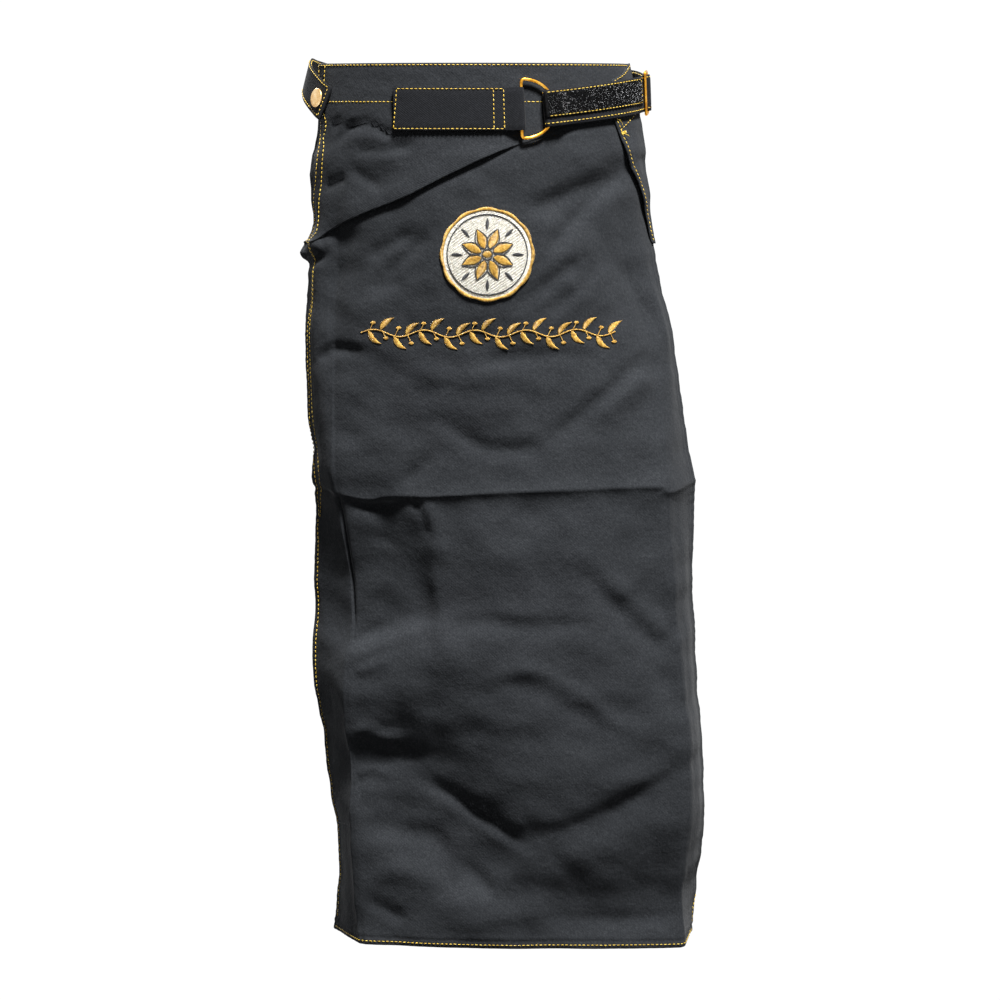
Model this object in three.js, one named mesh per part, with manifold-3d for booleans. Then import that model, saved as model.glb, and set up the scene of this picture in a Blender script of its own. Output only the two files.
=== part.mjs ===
// Long waiter's apron of dark twill, in its worn form: a panel round the front of the waist, a strap round
// the back through a brass slide to a D-ring, a stitched tab, a button and a round embroidered badge.
// Millimetres, +Z up. The front faces -Y and +X is the viewer's right. The origin is the centre of the
// waist opening, level with the panel's top edge.
import * as THREE from "three";
import { mergeVertices } from "three/addons/utils/BufferGeometryUtils.js";
import Module from "manifold-3d";

const wasm = await Module();
wasm.setup();

// Driving dimensions
const panelLength = 886; // top edge to hem
const waistHalfWidth = 166; // the waist's oval, at the panel's outer face and its top edge
const waistFrontDepth = 118; // oval's centre to its front
const waistBackDepth = 104; // oval's centre to its back
const sideFlare = 0.19; // how much the oval's half width grows for each millimetre down
const depthFlare = 0.05; // the same for its depth, front and back
const leftEdgeAngle = -70; // where the panel ends on the oval, in degrees from the front
const rightFoldAngle = 72;
const clothWall = 1.4; // one layer of twill with its drape
const hemWidth = 11; // turned hem, at the sides and at the foot
const hemExtra = 1.0; // what a turned hem adds inside
const facingDepth = 38; // turned facing inside the top edge
const clearance = 0.3; // between two pieces that lie on each other
const bendSlack = 0.42; // what a strap needs more where it goes round a wire
const strapOver = 0.9; // between the panel's curved left edge and the strap's end on it
const foldDepth = 9; // unit of the heights in the table of folds
const foldReach = 40; // unit of the widths in the table of folds

const flapWidth = 34; // dog-ear at its top
const flapGap = 0.6; // between the dog-ear and the panel behind it

const beltDrop = 45; // top edge to the middle of the D-ring and its tab
const tabWidth = 42;
const tabStart = -80; // left end of the tab, along the oval from the centre front
const barPlace = 45.6; // the D-ring's straight bar, along the oval from the centre front
const tabWall = 1.6; // the tab's doubled cloth
const wireRadius = 1.6;
const ringHeight = 61; // D-ring, outside
const ringDepth = 36.2;

const strapWidth = 36;
const strapWall = 2.2;
const strapReturn = 62; // the end folded back behind the strap
const strapEndAngle = -57.5;
const buttonAngle = -63.5;
const buttonRadius = 9.5;
const buttonRise = 3.4; // cap, from its rim's foot to its crown
const postRadius = 2.3;
const washerRadius = 5.5;
const washerWall = 1.2;

const tapeWidth = 25;
const tapeWall = 1.3;
const tapeLift = 4; // middle of the tape above the middle of the strap

const slideAngle = 78.5; // middle bar, on the oval
const slidePitch = 9; // from bar to bar
const slideInside = 39; // clear height between the slide's ends
const slideRadius = 1.5;
const slideFall = 3.2; // how much nearer the waist its rear bar lies than its front bar

const emblemRadius = 47;
const emblemPlace = 12.5; // centre, across
const emblemDrop = 187; // centre, below the top edge
const emblemWall = 1.2;
const badgeGive = 0.1; // share of the folds that shows under the stiff badge

// Colours
const twill = { color: 0x2c2e31, roughness: 0.85, metalness: 0 };
const brass = { color: 0xc8963c, roughness: 0.35, metalness: 1 };
const paleBrass = { color: 0xd8b27a, roughness: 0.4, metalness: 1 };
const blackTape = { color: 0x141414, roughness: 0.95, metalness: 0 };
const creamThread = { color: 0xe9e3d2, roughness: 0.8, metalness: 0 };

// Corners of the panel's section at several heights, as shares: down of the panel's length, across of the
// waist's half width, y and belly of the waist's front depth. The corners are the left edge, the left and
// right hanging creases and the right edge. belly rounds the front out, soft is the corners' half window.
const corners = [0, 0.16, 0.85, 1];
const sections = [
  { down: 0.0, across: [-0.94, -0.82, 0.82, 0.96], y: [-0.34, -0.72, -0.72, -0.34], belly: 0.34, soft: 0.3 },
  { down: 0.1, across: [-1.0, -0.9, 0.88, 1.01], y: [-0.36, -0.74, -0.74, -0.36], belly: 0.34, soft: 0.3 },
  { down: 0.2, across: [-1.01, -0.93, 0.98, 1.1], y: [-0.36, -0.76, -0.72, -0.36], belly: 0.35, soft: 0.22 },
  { down: 0.3, across: [-1.05, -0.9, 1.1, 1.21], y: [-0.42, -0.82, -0.7, -0.38], belly: 0.28, soft: 0.12 },
  { down: 0.4, across: [-1.04, -0.86, 1.13, 1.3], y: [-0.48, -0.86, -0.82, -0.42], belly: 0.2, soft: 0.06 },
  { down: 0.5, across: [-0.98, -0.82, 1.16, 1.37], y: [-0.53, -0.87, -0.9, -0.47], belly: 0.15, soft: 0.035 },
  { down: 0.6, across: [-1.02, -0.77, 1.2, 1.36], y: [-0.53, -0.88, -0.95, -0.51], belly: 0.13, soft: 0.03 },
  { down: 0.7, across: [-1.01, -0.78, 1.24, 1.37], y: [-0.51, -0.9, -0.98, -0.53], belly: 0.12, soft: 0.025 },
  { down: 0.8, across: [-0.94, -0.77, 1.26, 1.39], y: [-0.47, -0.9, -1.0, -0.54], belly: 0.11, soft: 0.025 },
  { down: 0.9, across: [-0.86, -0.74, 1.27, 1.42], y: [-0.44, -0.9, -1.02, -0.51], belly: 0.11, soft: 0.025 },
  { down: 1.0, across: [-0.9, -0.7, 1.27, 1.34], y: [-0.37, -0.9, -1.02, -0.44], belly: 0.11, soft: 0.025 },
];
const ovalUntil = 0.1; // share of the length down to which the section is the oval
const cornersFrom = 0.3; // and from which it is the corners alone

// Folds and dents: from and to are [across, down] in the shares above, bow lifts the middle (share of the
// length), height is in foldDepth, above and below are the reaches to each side in foldReach.
const pullFold = { from: [-1.06, 0.207], to: [0.84, 0.062], bow: 0.016 };
const folds = [
  { from: pullFold.from, to: pullFold.to, bow: pullFold.bow, height: 0.75, above: 0.75, below: 0.12 },
  { from: pullFold.from, to: pullFold.to, bow: pullFold.bow - 0.02, height: -0.45, above: 0.12, below: 0.7 },
  { from: [1.02, 0.112], to: [0.36, 0.232], bow: -0.012, height: -0.8, above: 0.35, below: 0.5 },
  { from: [0.9, 0.128], to: [0.3, 0.168], bow: -0.01, height: -0.35, above: 0.3, below: 0.4 },
  { from: [-0.22, 0.188], to: [-0.62, 0.248], bow: 0, height: -0.4, above: 0.3, below: 0.35 },
  { from: [0.68, 0.225], to: [0.2, 0.285], bow: 0, height: -0.4, above: 0.3, below: 0.35 },
  { from: [-0.85, 0.055], to: [-0.35, 0.075], bow: 0.008, height: -0.35, above: 0.2, below: 0.35 },
  { from: [1.0, 0.33], to: [0.45, 0.425], bow: 0, height: -0.35, above: 0.45, below: 0.45 },
  { from: [-0.25, 0.405], to: [0.4, 0.425], bow: -0.016, height: -0.35, above: 0.4, below: 0.4 },
  { from: [-0.96, 0.334], to: [0.7, 0.33], bow: 0.004, height: -0.25, above: 0.3, below: 0.35 },
  { from: [-0.95, 0.487], to: [1.36, 0.482], bow: 0, height: 0.16, above: 0.3, below: 0.3 },
  { from: [-0.62, 0.545], to: [-0.35, 0.535], bow: 0, height: -0.75, above: 1.0, below: 1.0 },
  { from: [0.8, 0.572], to: [1.2, 0.64], bow: 0, height: 0.45, above: 0.5, below: 0.5 },
  { from: [-0.72, 0.668], to: [0.8, 0.628], bow: -0.006, height: 0.35, above: 0.5, below: 0.4 },
  { from: [0.05, 0.695], to: [0.95, 0.745], bow: 0.02, height: 0.45, above: 0.5, below: 0.5 },
  { from: [0.02, 0.75], to: [0.08, 0.87], bow: 0, height: -0.9, above: 1.2, below: 1.2 },
  { from: [0.4, 0.86], to: [1.2, 0.8], bow: -0.012, height: -0.5, above: 0.5, below: 0.5 },
  { from: [-0.98, 0.203], to: [-1.08, 0.222], bow: 0, height: 0.8, above: 0.3, below: 0.3 },
];

const degrees = Math.PI / 180;
const mix = (a, b, t) => a + (b - a) * t;
const clamp = (t) => Math.min(1, Math.max(0, t));
const ease = (t) => clamp(t) ** 2 * (3 - 2 * clamp(t));

// The worn waist: an oval that widens downwards, its front half deeper than its back half.
function waistPoint(angle, z, out = 0) {
  const halfWidth = waistHalfWidth - sideFlare * z;
  const depth = (Math.cos(angle) > 0 ? waistFrontDepth : waistBackDepth) - depthFlare * z;
  const normal = waistNormal(angle, z);
  const onOval = new THREE.Vector3(halfWidth * Math.sin(angle), -depth * Math.cos(angle), z);
  return onOval.addScaledVector(normal, out);
}

function waistNormal(angle, z) {
  const halfWidth = waistHalfWidth - sideFlare * z;
  const depth = (Math.cos(angle) > 0 ? waistFrontDepth : waistBackDepth) - depthFlare * z;
  const around = new THREE.Vector3(halfWidth * Math.cos(angle), depth * Math.sin(angle), 0);
  const upwards = new THREE.Vector3(-sideFlare * Math.sin(angle), depthFlare * Math.cos(angle), 1);
  return around.cross(upwards).normalize();
}

// Angle on the oval at a length along it from the centre front, by small steps.
function angleAt(length, z) {
  const step = 0.25 * degrees * Math.sign(length);
  let angle = 0;
  let left = Math.abs(length);
  while (left > 0) {
    const stride = waistPoint(angle, z).distanceTo(waistPoint(angle + step, z));
    angle += step * Math.min(1, left / stride);
    left -= stride;
  }
  return angle;
}

// A place on the belt: length along the oval at the belt's height, height and distance out.
const beltPoint = (length, z, out) => waistPoint(angleAt(length, -beltDrop), z, out);

// One row of the table of sections at any height, through its rows by a smooth cubic.
function sectionAt(down) {
  const last = sections.length - 1;
  const place = sections.findIndex((row) => row.down >= down);
  const k = Math.min(last - 1, Math.max(0, (place < 0 ? last : place) - 1));
  const rows = [k - 1, k, k + 1, k + 2].map((n) => sections[Math.min(last, Math.max(0, n))]);
  const t = (down - rows[1].down) / (rows[2].down - rows[1].down);
  const smooth = (a, b, c, d) =>
    b + 0.5 * t * (c - a + t * (2 * a - 5 * b + 4 * c - d + t * (3 * (b - c) + d - a)));
  return {
    across: corners.map((_, n) => smooth(...rows.map((row) => row.across[n]))),
    y: corners.map((_, n) => smooth(...rows.map((row) => row.y[n]))),
    belly: smooth(...rows.map((row) => row.belly)),
    soft: mix(rows[1].soft, rows[2].soft, t),
  };
}

// A run of straight stretches between the corners, carried on past its ends.
function atShare(values, u) {
  const last = corners.length - 2;
  const k = Math.min(last, Math.max(0, corners.findIndex((c) => c > u) - 1));
  const n = u >= 1 ? last : k;
  return mix(values[n], values[n + 1], (u - corners[n]) / (corners[n + 1] - corners[n]));
}

// The section's place at u: straight stretches averaged over a window, which rounds the corners. The
// window may run past the edges by the overrun.
const overrun = 0.02;
function softened(values, u, soft) {
  const samples = 9;
  const reach = Math.min(soft, u + overrun, 1 + overrun - u);
  let sum = 0;
  for (let n = 0; n < samples; n++) sum += atShare(values, u + reach * ((2 * n + 1) / samples - 1));
  return sum / samples;
}

// Height of the folds at a place of the front: each is a ridge or valley along a bowed line.
function foldHeight(x, z) {
  let height = 0;
  for (const fold of folds) {
    const across = fold.to[0] - fold.from[0];
    const downwards = fold.to[1] - fold.from[1];
    const start = [fold.from[0] * waistHalfWidth, fold.from[1] * panelLength];
    const run = [across * waistHalfWidth, downwards * panelLength];
    const square = run[0] ** 2 + run[1] ** 2;
    const offset = [x - start[0], -z - start[1]];
    const t = (offset[0] * run[0] + offset[1] * run[1]) / square;
    const bow = 4 * fold.bow * panelLength * t * (1 - t) * (t > 0 && t < 1 ? 1 : 0);
    const side = (offset[1] * run[0] - offset[0] * run[1]) / Math.sqrt(square) + bow * Math.sign(run[0]);
    const reach = (side * Math.sign(run[0]) < 0 ? fold.above : fold.below) * foldReach;
    const beyond = Math.max(0, -t, t - 1) * Math.sqrt(square);
    const spread = Math.hypot(side / reach, beyond / (0.5 * (fold.above + fold.below) * foldReach));
    const taper = mix(0.55, 1, ease(4 * Math.min(clamp(t), clamp(1 - t))));
    height += fold.height * foldDepth * taper * Math.exp(-spread * spread);
  }
  const fromBadge = Math.hypot(x - emblemPlace, z + emblemDrop) / emblemRadius;
  return height * mix(badgeGive, 1, ease((fromBadge - 1) / 0.5));
}

// The panel's outer face without its folds: u runs from its left edge to its right, down is a share.
function panelBase(u, down) {
  const z = -down * panelLength;
  const row = sectionAt(down);
  const front = clamp((u - corners[1]) / (corners[2] - corners[1]));
  const belly = 4 * front * (1 - front) * row.belly;
  const cornered = new THREE.Vector3(
    softened(row.across, u, row.soft) * waistHalfWidth,
    (softened(row.y, u, row.soft) - belly) * waistFrontDepth,
    z,
  );
  const angle = mix(leftEdgeAngle, rightFoldAngle, u) * degrees;
  const share = ease((down - ovalUntil) / (cornersFrom - ovalUntil));
  return waistPoint(angle, Math.max(z, -ovalUntil * panelLength)).setZ(z).lerp(cornered, share);
}

function panelNormal(u, down) {
  const h = 0.004;
  const across = panelBase(u + h, down).sub(panelBase(u - h, down));
  const downwards = panelBase(u, Math.min(1, down + h)).sub(panelBase(u, Math.max(0, down - h)));
  return downwards.cross(across).normalize();
}

// The panel's outer face, out from its folds. Down to outwardFrom, in belt drops, the folds only go in.
const outwardFrom = 1.9;
function panelPoint(u, down, out = 0) {
  const base = panelBase(u, down);
  const belowBelt = ease((-base.z - facingDepth) / facingDepth);
  const height = foldHeight(base.x, base.z);
  const lift = base.z > -outwardFrom * beltDrop ? Math.min(0, height) * belowBelt : height;
  return base.addScaledVector(panelNormal(u, down), lift + out);
}

// The share across at which the panel's face has a given x, by halving.
function shareAcross(x, down) {
  let low = 0;
  let high = 1;
  for (let n = 0; n < 24; n++) {
    const middle = (low + high) / 2;
    if (panelBase(middle, down).x < x) low = middle;
    else high = middle;
  }
  return (low + high) / 2;
}

function meshOf(points, triangles) {
  const geometry = new THREE.BufferGeometry();
  const numbers = new Float32Array(points.flatMap((p) => [p.x, p.y, p.z]));
  geometry.setAttribute("position", new THREE.BufferAttribute(numbers, 3));
  geometry.setIndex(triangles);
  return geometry;
}

// A closed wall between two grids of points. Its front shows when i runs right and j runs down.
function wallBetween(columns, rows, front, back) {
  const points = [];
  const triangles = [];
  for (const side of [front, back]) {
    for (let j = 0; j <= rows; j++) {
      for (let i = 0; i <= columns; i++) points.push(side(i, j));
    }
  }
  const half = (columns + 1) * (rows + 1);
  const at = (i, j, side) => side * half + j * (columns + 1) + i;
  const quad = (a, b, c, d) => triangles.push(a, b, c, a, c, d);
  for (let j = 0; j < rows; j++) {
    for (let i = 0; i < columns; i++) {
      quad(at(i, j, 0), at(i, j + 1, 0), at(i + 1, j + 1, 0), at(i + 1, j, 0));
      quad(at(i, j, 1), at(i + 1, j, 1), at(i + 1, j + 1, 1), at(i, j + 1, 1));
    }
  }
  for (let i = 0; i < columns; i++) {
    quad(at(i, 0, 0), at(i + 1, 0, 0), at(i + 1, 0, 1), at(i, 0, 1));
    quad(at(i, rows, 0), at(i, rows, 1), at(i + 1, rows, 1), at(i + 1, rows, 0));
  }
  for (let j = 0; j < rows; j++) {
    quad(at(0, j, 0), at(0, j, 1), at(0, j + 1, 1), at(0, j + 1, 0));
    quad(at(columns, j, 0), at(columns, j + 1, 0), at(columns, j + 1, 1), at(columns, j, 1));
  }
  return meshOf(points, triangles);
}

function solidOf(geometry) {
  const plain = geometry.clone();
  plain.deleteAttribute("normal");
  plain.deleteAttribute("uv");
  const merged = mergeVertices(plain, 1e-3);
  return new wasm.Manifold(
    new wasm.Mesh({
      numProp: 3,
      vertProperties: new Float32Array(merged.attributes.position.array),
      triVerts: new Uint32Array(merged.index.array),
    }),
  );
}

function geometryOf(solid) {
  const mesh = solid.getMesh();
  const geometry = new THREE.BufferGeometry();
  const numbers = new Float32Array(mesh.numVert * 3);
  for (let n = 0; n < mesh.numVert; n++) {
    numbers.set(mesh.vertProperties.subarray(n * mesh.numProp, n * mesh.numProp + 3), n * 3);
  }
  geometry.setAttribute("position", new THREE.BufferAttribute(numbers, 3));
  geometry.setIndex(Array.from(mesh.triVerts));
  return geometry;
}

function namedMesh(name, geometry, finish) {
  const mesh = new THREE.Mesh(geometry, new THREE.MeshStandardMaterial(finish));
  geometry.computeVertexNormals();
  mesh.name = name;
  return mesh;
}

// The panel: columns stand on the corners of its sections, and the rows follow the long pulled fold.
const columnCounts = [6, 24, 6]; // columns in each stretch between two corners
const rowCounts = [9, 17, 22]; // rows above the pulled fold, from there to straightRow, and below
const straightRow = 0.487; // share of the length from which the rows are level, at the pressed crease

function columnShare(i) {
  let stretch = 0;
  let left = i;
  while (left > columnCounts[stretch]) {
    left -= columnCounts[stretch];
    stretch += 1;
  }
  return mix(corners[stretch], corners[stretch + 1], left / columnCounts[stretch]);
}

// Share of the length at a row. The pulled fold is a bowed line across the panel.
function rowShare(j, u) {
  const fall = pullFold.to[1] - pullFold.from[1];
  const fold = pullFold.from[1] + fall * u - 4 * pullFold.bow * u * (1 - u);
  const [above, between, below] = rowCounts;
  if (j <= above) return (fold * j) / above;
  if (j <= above + between) return mix(fold, straightRow, (j - above) / between);
  return mix(straightRow, 1, (j - above - between) / below);
}

function panelWall(u, down) {
  const width = panelBase(1, down).distanceTo(panelBase(0, down));
  const toSide = Math.min(u, down > flapEnd ? 1 - u : 1) * width;
  const toFoot = (1 - down) * panelLength;
  const turned = toSide < hemWidth || toFoot < hemWidth || down * panelLength < facingDepth;
  return clothWall + (turned ? hemExtra : 0);
}

function panelSheet() {
  const columns = columnCounts.reduce((a, b) => a + b);
  const rows = rowCounts.reduce((a, b) => a + b);
  const face = (i, j) => {
    const u = columnShare(i);
    return panelPoint(u, rowShare(j, u));
  };
  const inside = (i, j) => {
    const u = columnShare(i);
    const down = rowShare(j, u);
    return panelPoint(u, down, -panelWall(u, down));
  };
  return wallBetween(columns, rows, face, inside);
}

// The dog-ear: the top of the panel's right margin, folded forward round a small bend. It narrows down to
// a tip on the right edge. The bend starts inside the panel's wall, which joins the two.
const flapEnd = 0.215; // share of the length where it ends
const flapSteps = 12;
const flapCut = 0.985; // share of its length to which it is drawn, short of its point
const flapTip = 1.5; // its width there
const arcToChord = 1.17; // how much longer the panel's section is than its chord, at the dog-ear
const bendSteps = 5;
const lapSteps = 5;
const rootDepth = 2; // how far its root reaches into the panel's wall
const rootInset = 0.15; // and how much thinner it is there, on each side

function flapSheet() {
  const bendRadius = (flapGap + clothWall) / 2;
  const middle = (i, j) => {
    const down = flapEnd * (j / flapSteps) * flapCut;
    const width = Math.max(flapTip, flapWidth * (1 - down / flapEnd) ** 1.15);
    const root = panelPoint(1, down, flapGap / 2);
    const out = panelNormal(1, down);
    const side = panelBase(1, down).sub(panelBase(1 - overrun, down)).normalize();
    if (i === 0) {
      const place = root.addScaledVector(side, -rootDepth).addScaledVector(out, -bendRadius);
      return { place, normal: out };
    }
    if (i <= bendSteps + 1) {
      const turn = -Math.PI / 2 + (Math.PI * (i - 1)) / bendSteps;
      const normal = side.multiplyScalar(-Math.cos(turn)).addScaledVector(out, -Math.sin(turn));
      return { place: root.addScaledVector(normal, -bendRadius), normal };
    }
    const gone = (width * (i - bendSteps - 1)) / lapSteps;
    const u = 1 - gone / panelBase(1, down).distanceTo(panelBase(0, down)) / arcToChord;
    const place = panelPoint(u, down, flapGap + clothWall / 2);
    return { place, normal: panelNormal(u, down).negate() };
  };
  const side = (share) => (i, j) => {
    const { place, normal } = middle(i, j);
    return place.addScaledVector(normal, share * (clothWall / 2 - (i === 0 ? rootInset : 0)));
  };
  return wallBetween(bendSteps + lapSteps + 1, flapSteps, side(1), side(-1));
}

// A flat band along a path. Each station has a place and the direction of the band's upper edge.
function bandAlong(stations, width, wall, lift = 0, out = 0) {
  const frames = stations.map((station, n) => {
    const before = stations[Math.max(0, n - 1)].place;
    const after = stations[Math.min(stations.length - 1, n + 1)].place;
    const ahead = after.clone().sub(before).normalize();
    const up = station.up.clone().addScaledVector(ahead, -station.up.dot(ahead)).normalize();
    return { up, normal: ahead.clone().cross(up), place: station.place };
  });
  const across = 2;
  const side = (share) => (i, j) => {
    const { place, up, normal } = frames[i];
    return place
      .clone()
      .addScaledVector(up, lift + width * (0.5 - j / across))
      .addScaledVector(normal, out + (share * wall) / 2);
  };
  return wallBetween(frames.length - 1, across, side(1), side(-1));
}

// The strap at the left hip: its upper edge is tipped in, between these angles.
const strapLean = { leanFrom: 225, leanTo: 282, most: 0.13 };
const slideHeight = -0.67; // middle of the slide, as a share of the belt's drop
const endHeight = -0.9; // middle of the strap's left end, the same way
const buttonHeight = -0.77;

// Levels out from the panel: the strap's end lies behind, then the ring's wire, then the strap's front.
const outBehind = clearance + strapWall / 2;
const outFront = outBehind + strapWall + clearance;
const outOverWire = outBehind + strapWall + 2 * (clearance + bendSlack + wireRadius);
const outWire = (outBehind + outOverWire) / 2;
const outBar = 2 * clearance + bendSlack + tabWall + wireRadius;
const ringHalf = ringHeight / 2 - wireRadius;
const ringReach = ringDepth - 2 * wireRadius;
const foldRadius = (outOverWire - outBehind) / 2;
const wireAtStrap = ringReach * Math.sqrt(1 - (strapWidth / 2 / ringHalf) ** 2);
const strapTilt = 2.4; // how far the sloping strap's corners lie along the belt from its middle
const foldPlace = barPlace + wireAtStrap - strapTilt; // centre of the strap's fold round the wire
const sideLength = lengthTo(slideAngle * degrees, -beltDrop);
const strapSlope = (slideHeight + 1) / (sideLength - foldPlace);
const strapHeight = (length) => beltDrop * (-1 + strapSlope * (length - foldPlace));

// Length along the oval from the centre front to an angle.
function lengthTo(angle, z) {
  const steps = 90;
  let length = 0;
  for (let n = 0; n < steps; n++) {
    length += waistPoint((angle * n) / steps, z).distanceTo(waistPoint((angle * (n + 1)) / steps, z));
  }
  return length;
}

// The strap's way beyond the slide: angle on the oval, height as a share of the belt's drop, distance out.
const backWay = [
  { angle: 92, height: -0.61, out: 0.8 },
  { angle: 106, height: -0.54, out: 1.4 },
  { angle: 123, height: -0.47, out: 1.6 },
  { angle: 140, height: -0.42, out: 1.6 },
  { angle: 160, height: -0.39, out: 1.6 },
  { angle: 180, height: -0.38, out: 1.6 },
  { angle: 200, height: -0.37, out: 1.6 },
  { angle: 220, height: -0.34, out: 1.6 },
  { angle: 240, height: -0.3, out: 1.7 },
  { angle: 256, height: -0.26, out: 2.0 },
  { angle: 270, height: -0.29, out: 2.2 },
  { angle: 282, height: -0.48, out: 2.2 },
  { angle: 289, height: -0.63, out: 2.2 },
];
function strapStations() {
  const station = (angle, z, out, lean = 0) => {
    const normal = waistNormal(angle, z);
    const up = waistPoint(angle, z + 1).sub(waistPoint(angle, z)).normalize();
    return { place: waistPoint(angle, z, out), up: up.addScaledVector(normal, -lean) };
  };
  const onBelt = (length, out) => station(angleAt(length, -beltDrop), strapHeight(length), out);
  const stations = [];
  for (const share of [1, 0.75, 0.5, 0.25, 0.08]) {
    stations.push(onBelt(foldPlace + strapReturn * share, outBehind));
  }
  const foldSteps = 8;
  for (let n = 0; n <= foldSteps; n++) {
    const turn = (Math.PI * n) / foldSteps;
    stations.push(onBelt(foldPlace - foldRadius * Math.sin(turn), outWire - foldRadius * Math.cos(turn)));
  }
  const tapeFrom = stations.length - 1;
  for (const { past, rise } of offWire) {
    stations.push(onBelt(foldPlace + past, mix(outFront, outOverWire, rise)));
  }
  const plainFrom = foldPlace + offWire.at(-1).past;
  const plain = sideLength - 2 * slidePitch - plainFrom;
  for (const share of [0.2, 0.4, 0.6, 0.8, 1]) stations.push(onBelt(plainFrom + plain * share, outFront));
  const tapeTo = stations.length;
  for (const { along, share } of slideWay) {
    const fall = slideFall * clamp((1 + along) / 2);
    stations.push(onBelt(sideLength + along * slidePitch, outFront + share * slideStep - fall));
  }
  const { leanFrom, leanTo, most } = strapLean;
  for (let n = 0; n < backWay.length - 1; n++) {
    for (let step = 0; step < 2; step++) {
      const [angle, height, out] = ["angle", "height", "out"].map((key) => {
        return mix(backWay[n][key], backWay[n + 1][key], step / 2);
      });
      const share = clamp((angle - leanFrom) / (leanTo - leanFrom));
      stations.push(station(angle * degrees, height * beltDrop, out, most * Math.sin(share * Math.PI)));
    }
  }
  stations.push(station((360 + buttonAngle) * degrees, buttonHeight * beltDrop, strapOver + strapWall / 2));
  stations.push(station((360 + strapEndAngle) * degrees, endHeight * beltDrop, strapOver + strapWall / 2));
  return { stations, tapeFrom, tapeTo };
}

// The strap's way from the ring's wire to its plain run: past is the distance from the fold's centre.
const offWire = [
  { past: 6, rise: 1 },
  { past: 11, rise: 1 },
  { past: 18, rise: 0.35 },
  { past: 26, rise: 0 },
];

// The strap's weave through the slide, from under its front bar over the middle one and under the rear one:
// along is in the slide's pitch, share is of slideStep, the rise from the strap's plain run.
const slideStep = 2 * (slideRadius + clearance + bendSlack + strapWall / 2);
const slideWay = [
  { along: -1.45, share: 0 },
  { along: -1.1, share: 0 },
  { along: -0.8, share: 0.03 },
  { along: -0.68, share: 0.12 },
  { along: -0.5, share: 0.5 },
  { along: -0.32, share: 0.88 },
  { along: -0.2, share: 0.97 },
  { along: 0, share: 1 },
  { along: 0.2, share: 0.97 },
  { along: 0.32, share: 0.88 },
  { along: 0.5, share: 0.5 },
  { along: 0.68, share: 0.04 },
  { along: 0.8, share: -0.07 },
  { along: 1.1, share: -0.13 },
  { along: 1.45, share: -0.1 },
];

// The tab: one length of doubled cloth, folded round the ring's bar and stitched down flat. From tabOpen
// before the bar its two halves part, and tabLap of each lies inside the stitched part.
const tabOpen = 17;
const tabLap = 2;
function tabGeometry() {
  const eyeRadius = wireRadius + clearance + bendSlack + tabWall / 2;
  const flatEnd = barPlace - tabOpen;
  const flatSteps = 10;
  const edge = (level) => (i, j) => {
    const length = mix(tabStart, flatEnd, i / flatSteps);
    return beltPoint(length, tabWidth * (0.5 - j / 2) - beltDrop, clearance + level);
  };
  const flat = wallBetween(flatSteps, 2, edge(2 * tabWall), edge(0));
  const way = [
    [flatEnd - tabLap, clearance + tabWall / 2],
    [barPlace - 9, clearance + tabWall / 2],
  ];
  const eyeSteps = 10;
  for (let n = 0; n <= eyeSteps; n++) {
    const turn = (Math.PI * n) / eyeSteps;
    way.push([barPlace + eyeRadius * Math.sin(turn), outBar - eyeRadius * Math.cos(turn)]);
  }
  way.push([barPlace - 6, outBar + eyeRadius * 0.55], [flatEnd - tabLap, clearance + 1.5 * tabWall]);
  const loopStations = way.map(([length, out]) => {
    const angle = angleAt(length, -beltDrop);
    const up = waistPoint(angle, 1 - beltDrop).sub(waistPoint(angle, -beltDrop)).normalize();
    return { place: waistPoint(angle, -beltDrop, out), up };
  });
  return geometryOf(solidOf(flat).add(solidOf(bandAlong(loopStations, tabWidth, tabWall))));
}

// A wire bent into a closed loop through points in a plane.
function closedWire(points, radius, steps, sides) {
  const path = new THREE.CatmullRomCurve3(points, true, "centripetal");
  return new THREE.TubeGeometry(path, steps, radius, sides, true);
}

// Turns a flat piece so that its x runs from one place on the belt to another and its y runs up the worn
// form there, and puts it in place.
function placeOnBelt(mesh, from, to) {
  const ahead = to.clone().sub(from).normalize();
  const angle = Math.atan2(from.x / waistHalfWidth, -from.y / waistFrontDepth);
  const up = waistPoint(angle, from.z + 1).sub(waistPoint(angle, from.z));
  up.addScaledVector(ahead, -up.dot(ahead)).normalize();
  mesh.matrix.makeBasis(ahead, up, ahead.clone().cross(up)).setPosition(from);
  mesh.matrix.decompose(mesh.position, mesh.quaternion, mesh.scale);
}

function ringMesh() {
  const corner = 5;
  const points = [];
  const bars = 4;
  for (let n = 0; n <= bars; n++) {
    points.push(new THREE.Vector3(0, mix(1, -1, n / bars) * (ringHalf - corner), 0));
  }
  const turns = 12;
  const sweep = 0.94; // share of the half turn that the curve makes
  const fullness = 0.9; // under 1 makes the curve fuller than an ellipse
  for (let n = 0; n <= turns; n++) {
    const turn = mix(-Math.PI / 2, Math.PI / 2, n / turns) * sweep;
    points.push(new THREE.Vector3(ringReach * Math.cos(turn) ** fullness, ringHalf * Math.sin(turn), 0));
  }
  const mesh = namedMesh("d_ring", closedWire(points, wireRadius, 48, 8), brass);
  const apex = beltPoint(barPlace + ringReach, -beltDrop, outWire);
  placeOnBelt(mesh, beltPoint(barPlace, -beltDrop, outBar), apex);
  return mesh;
}

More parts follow.
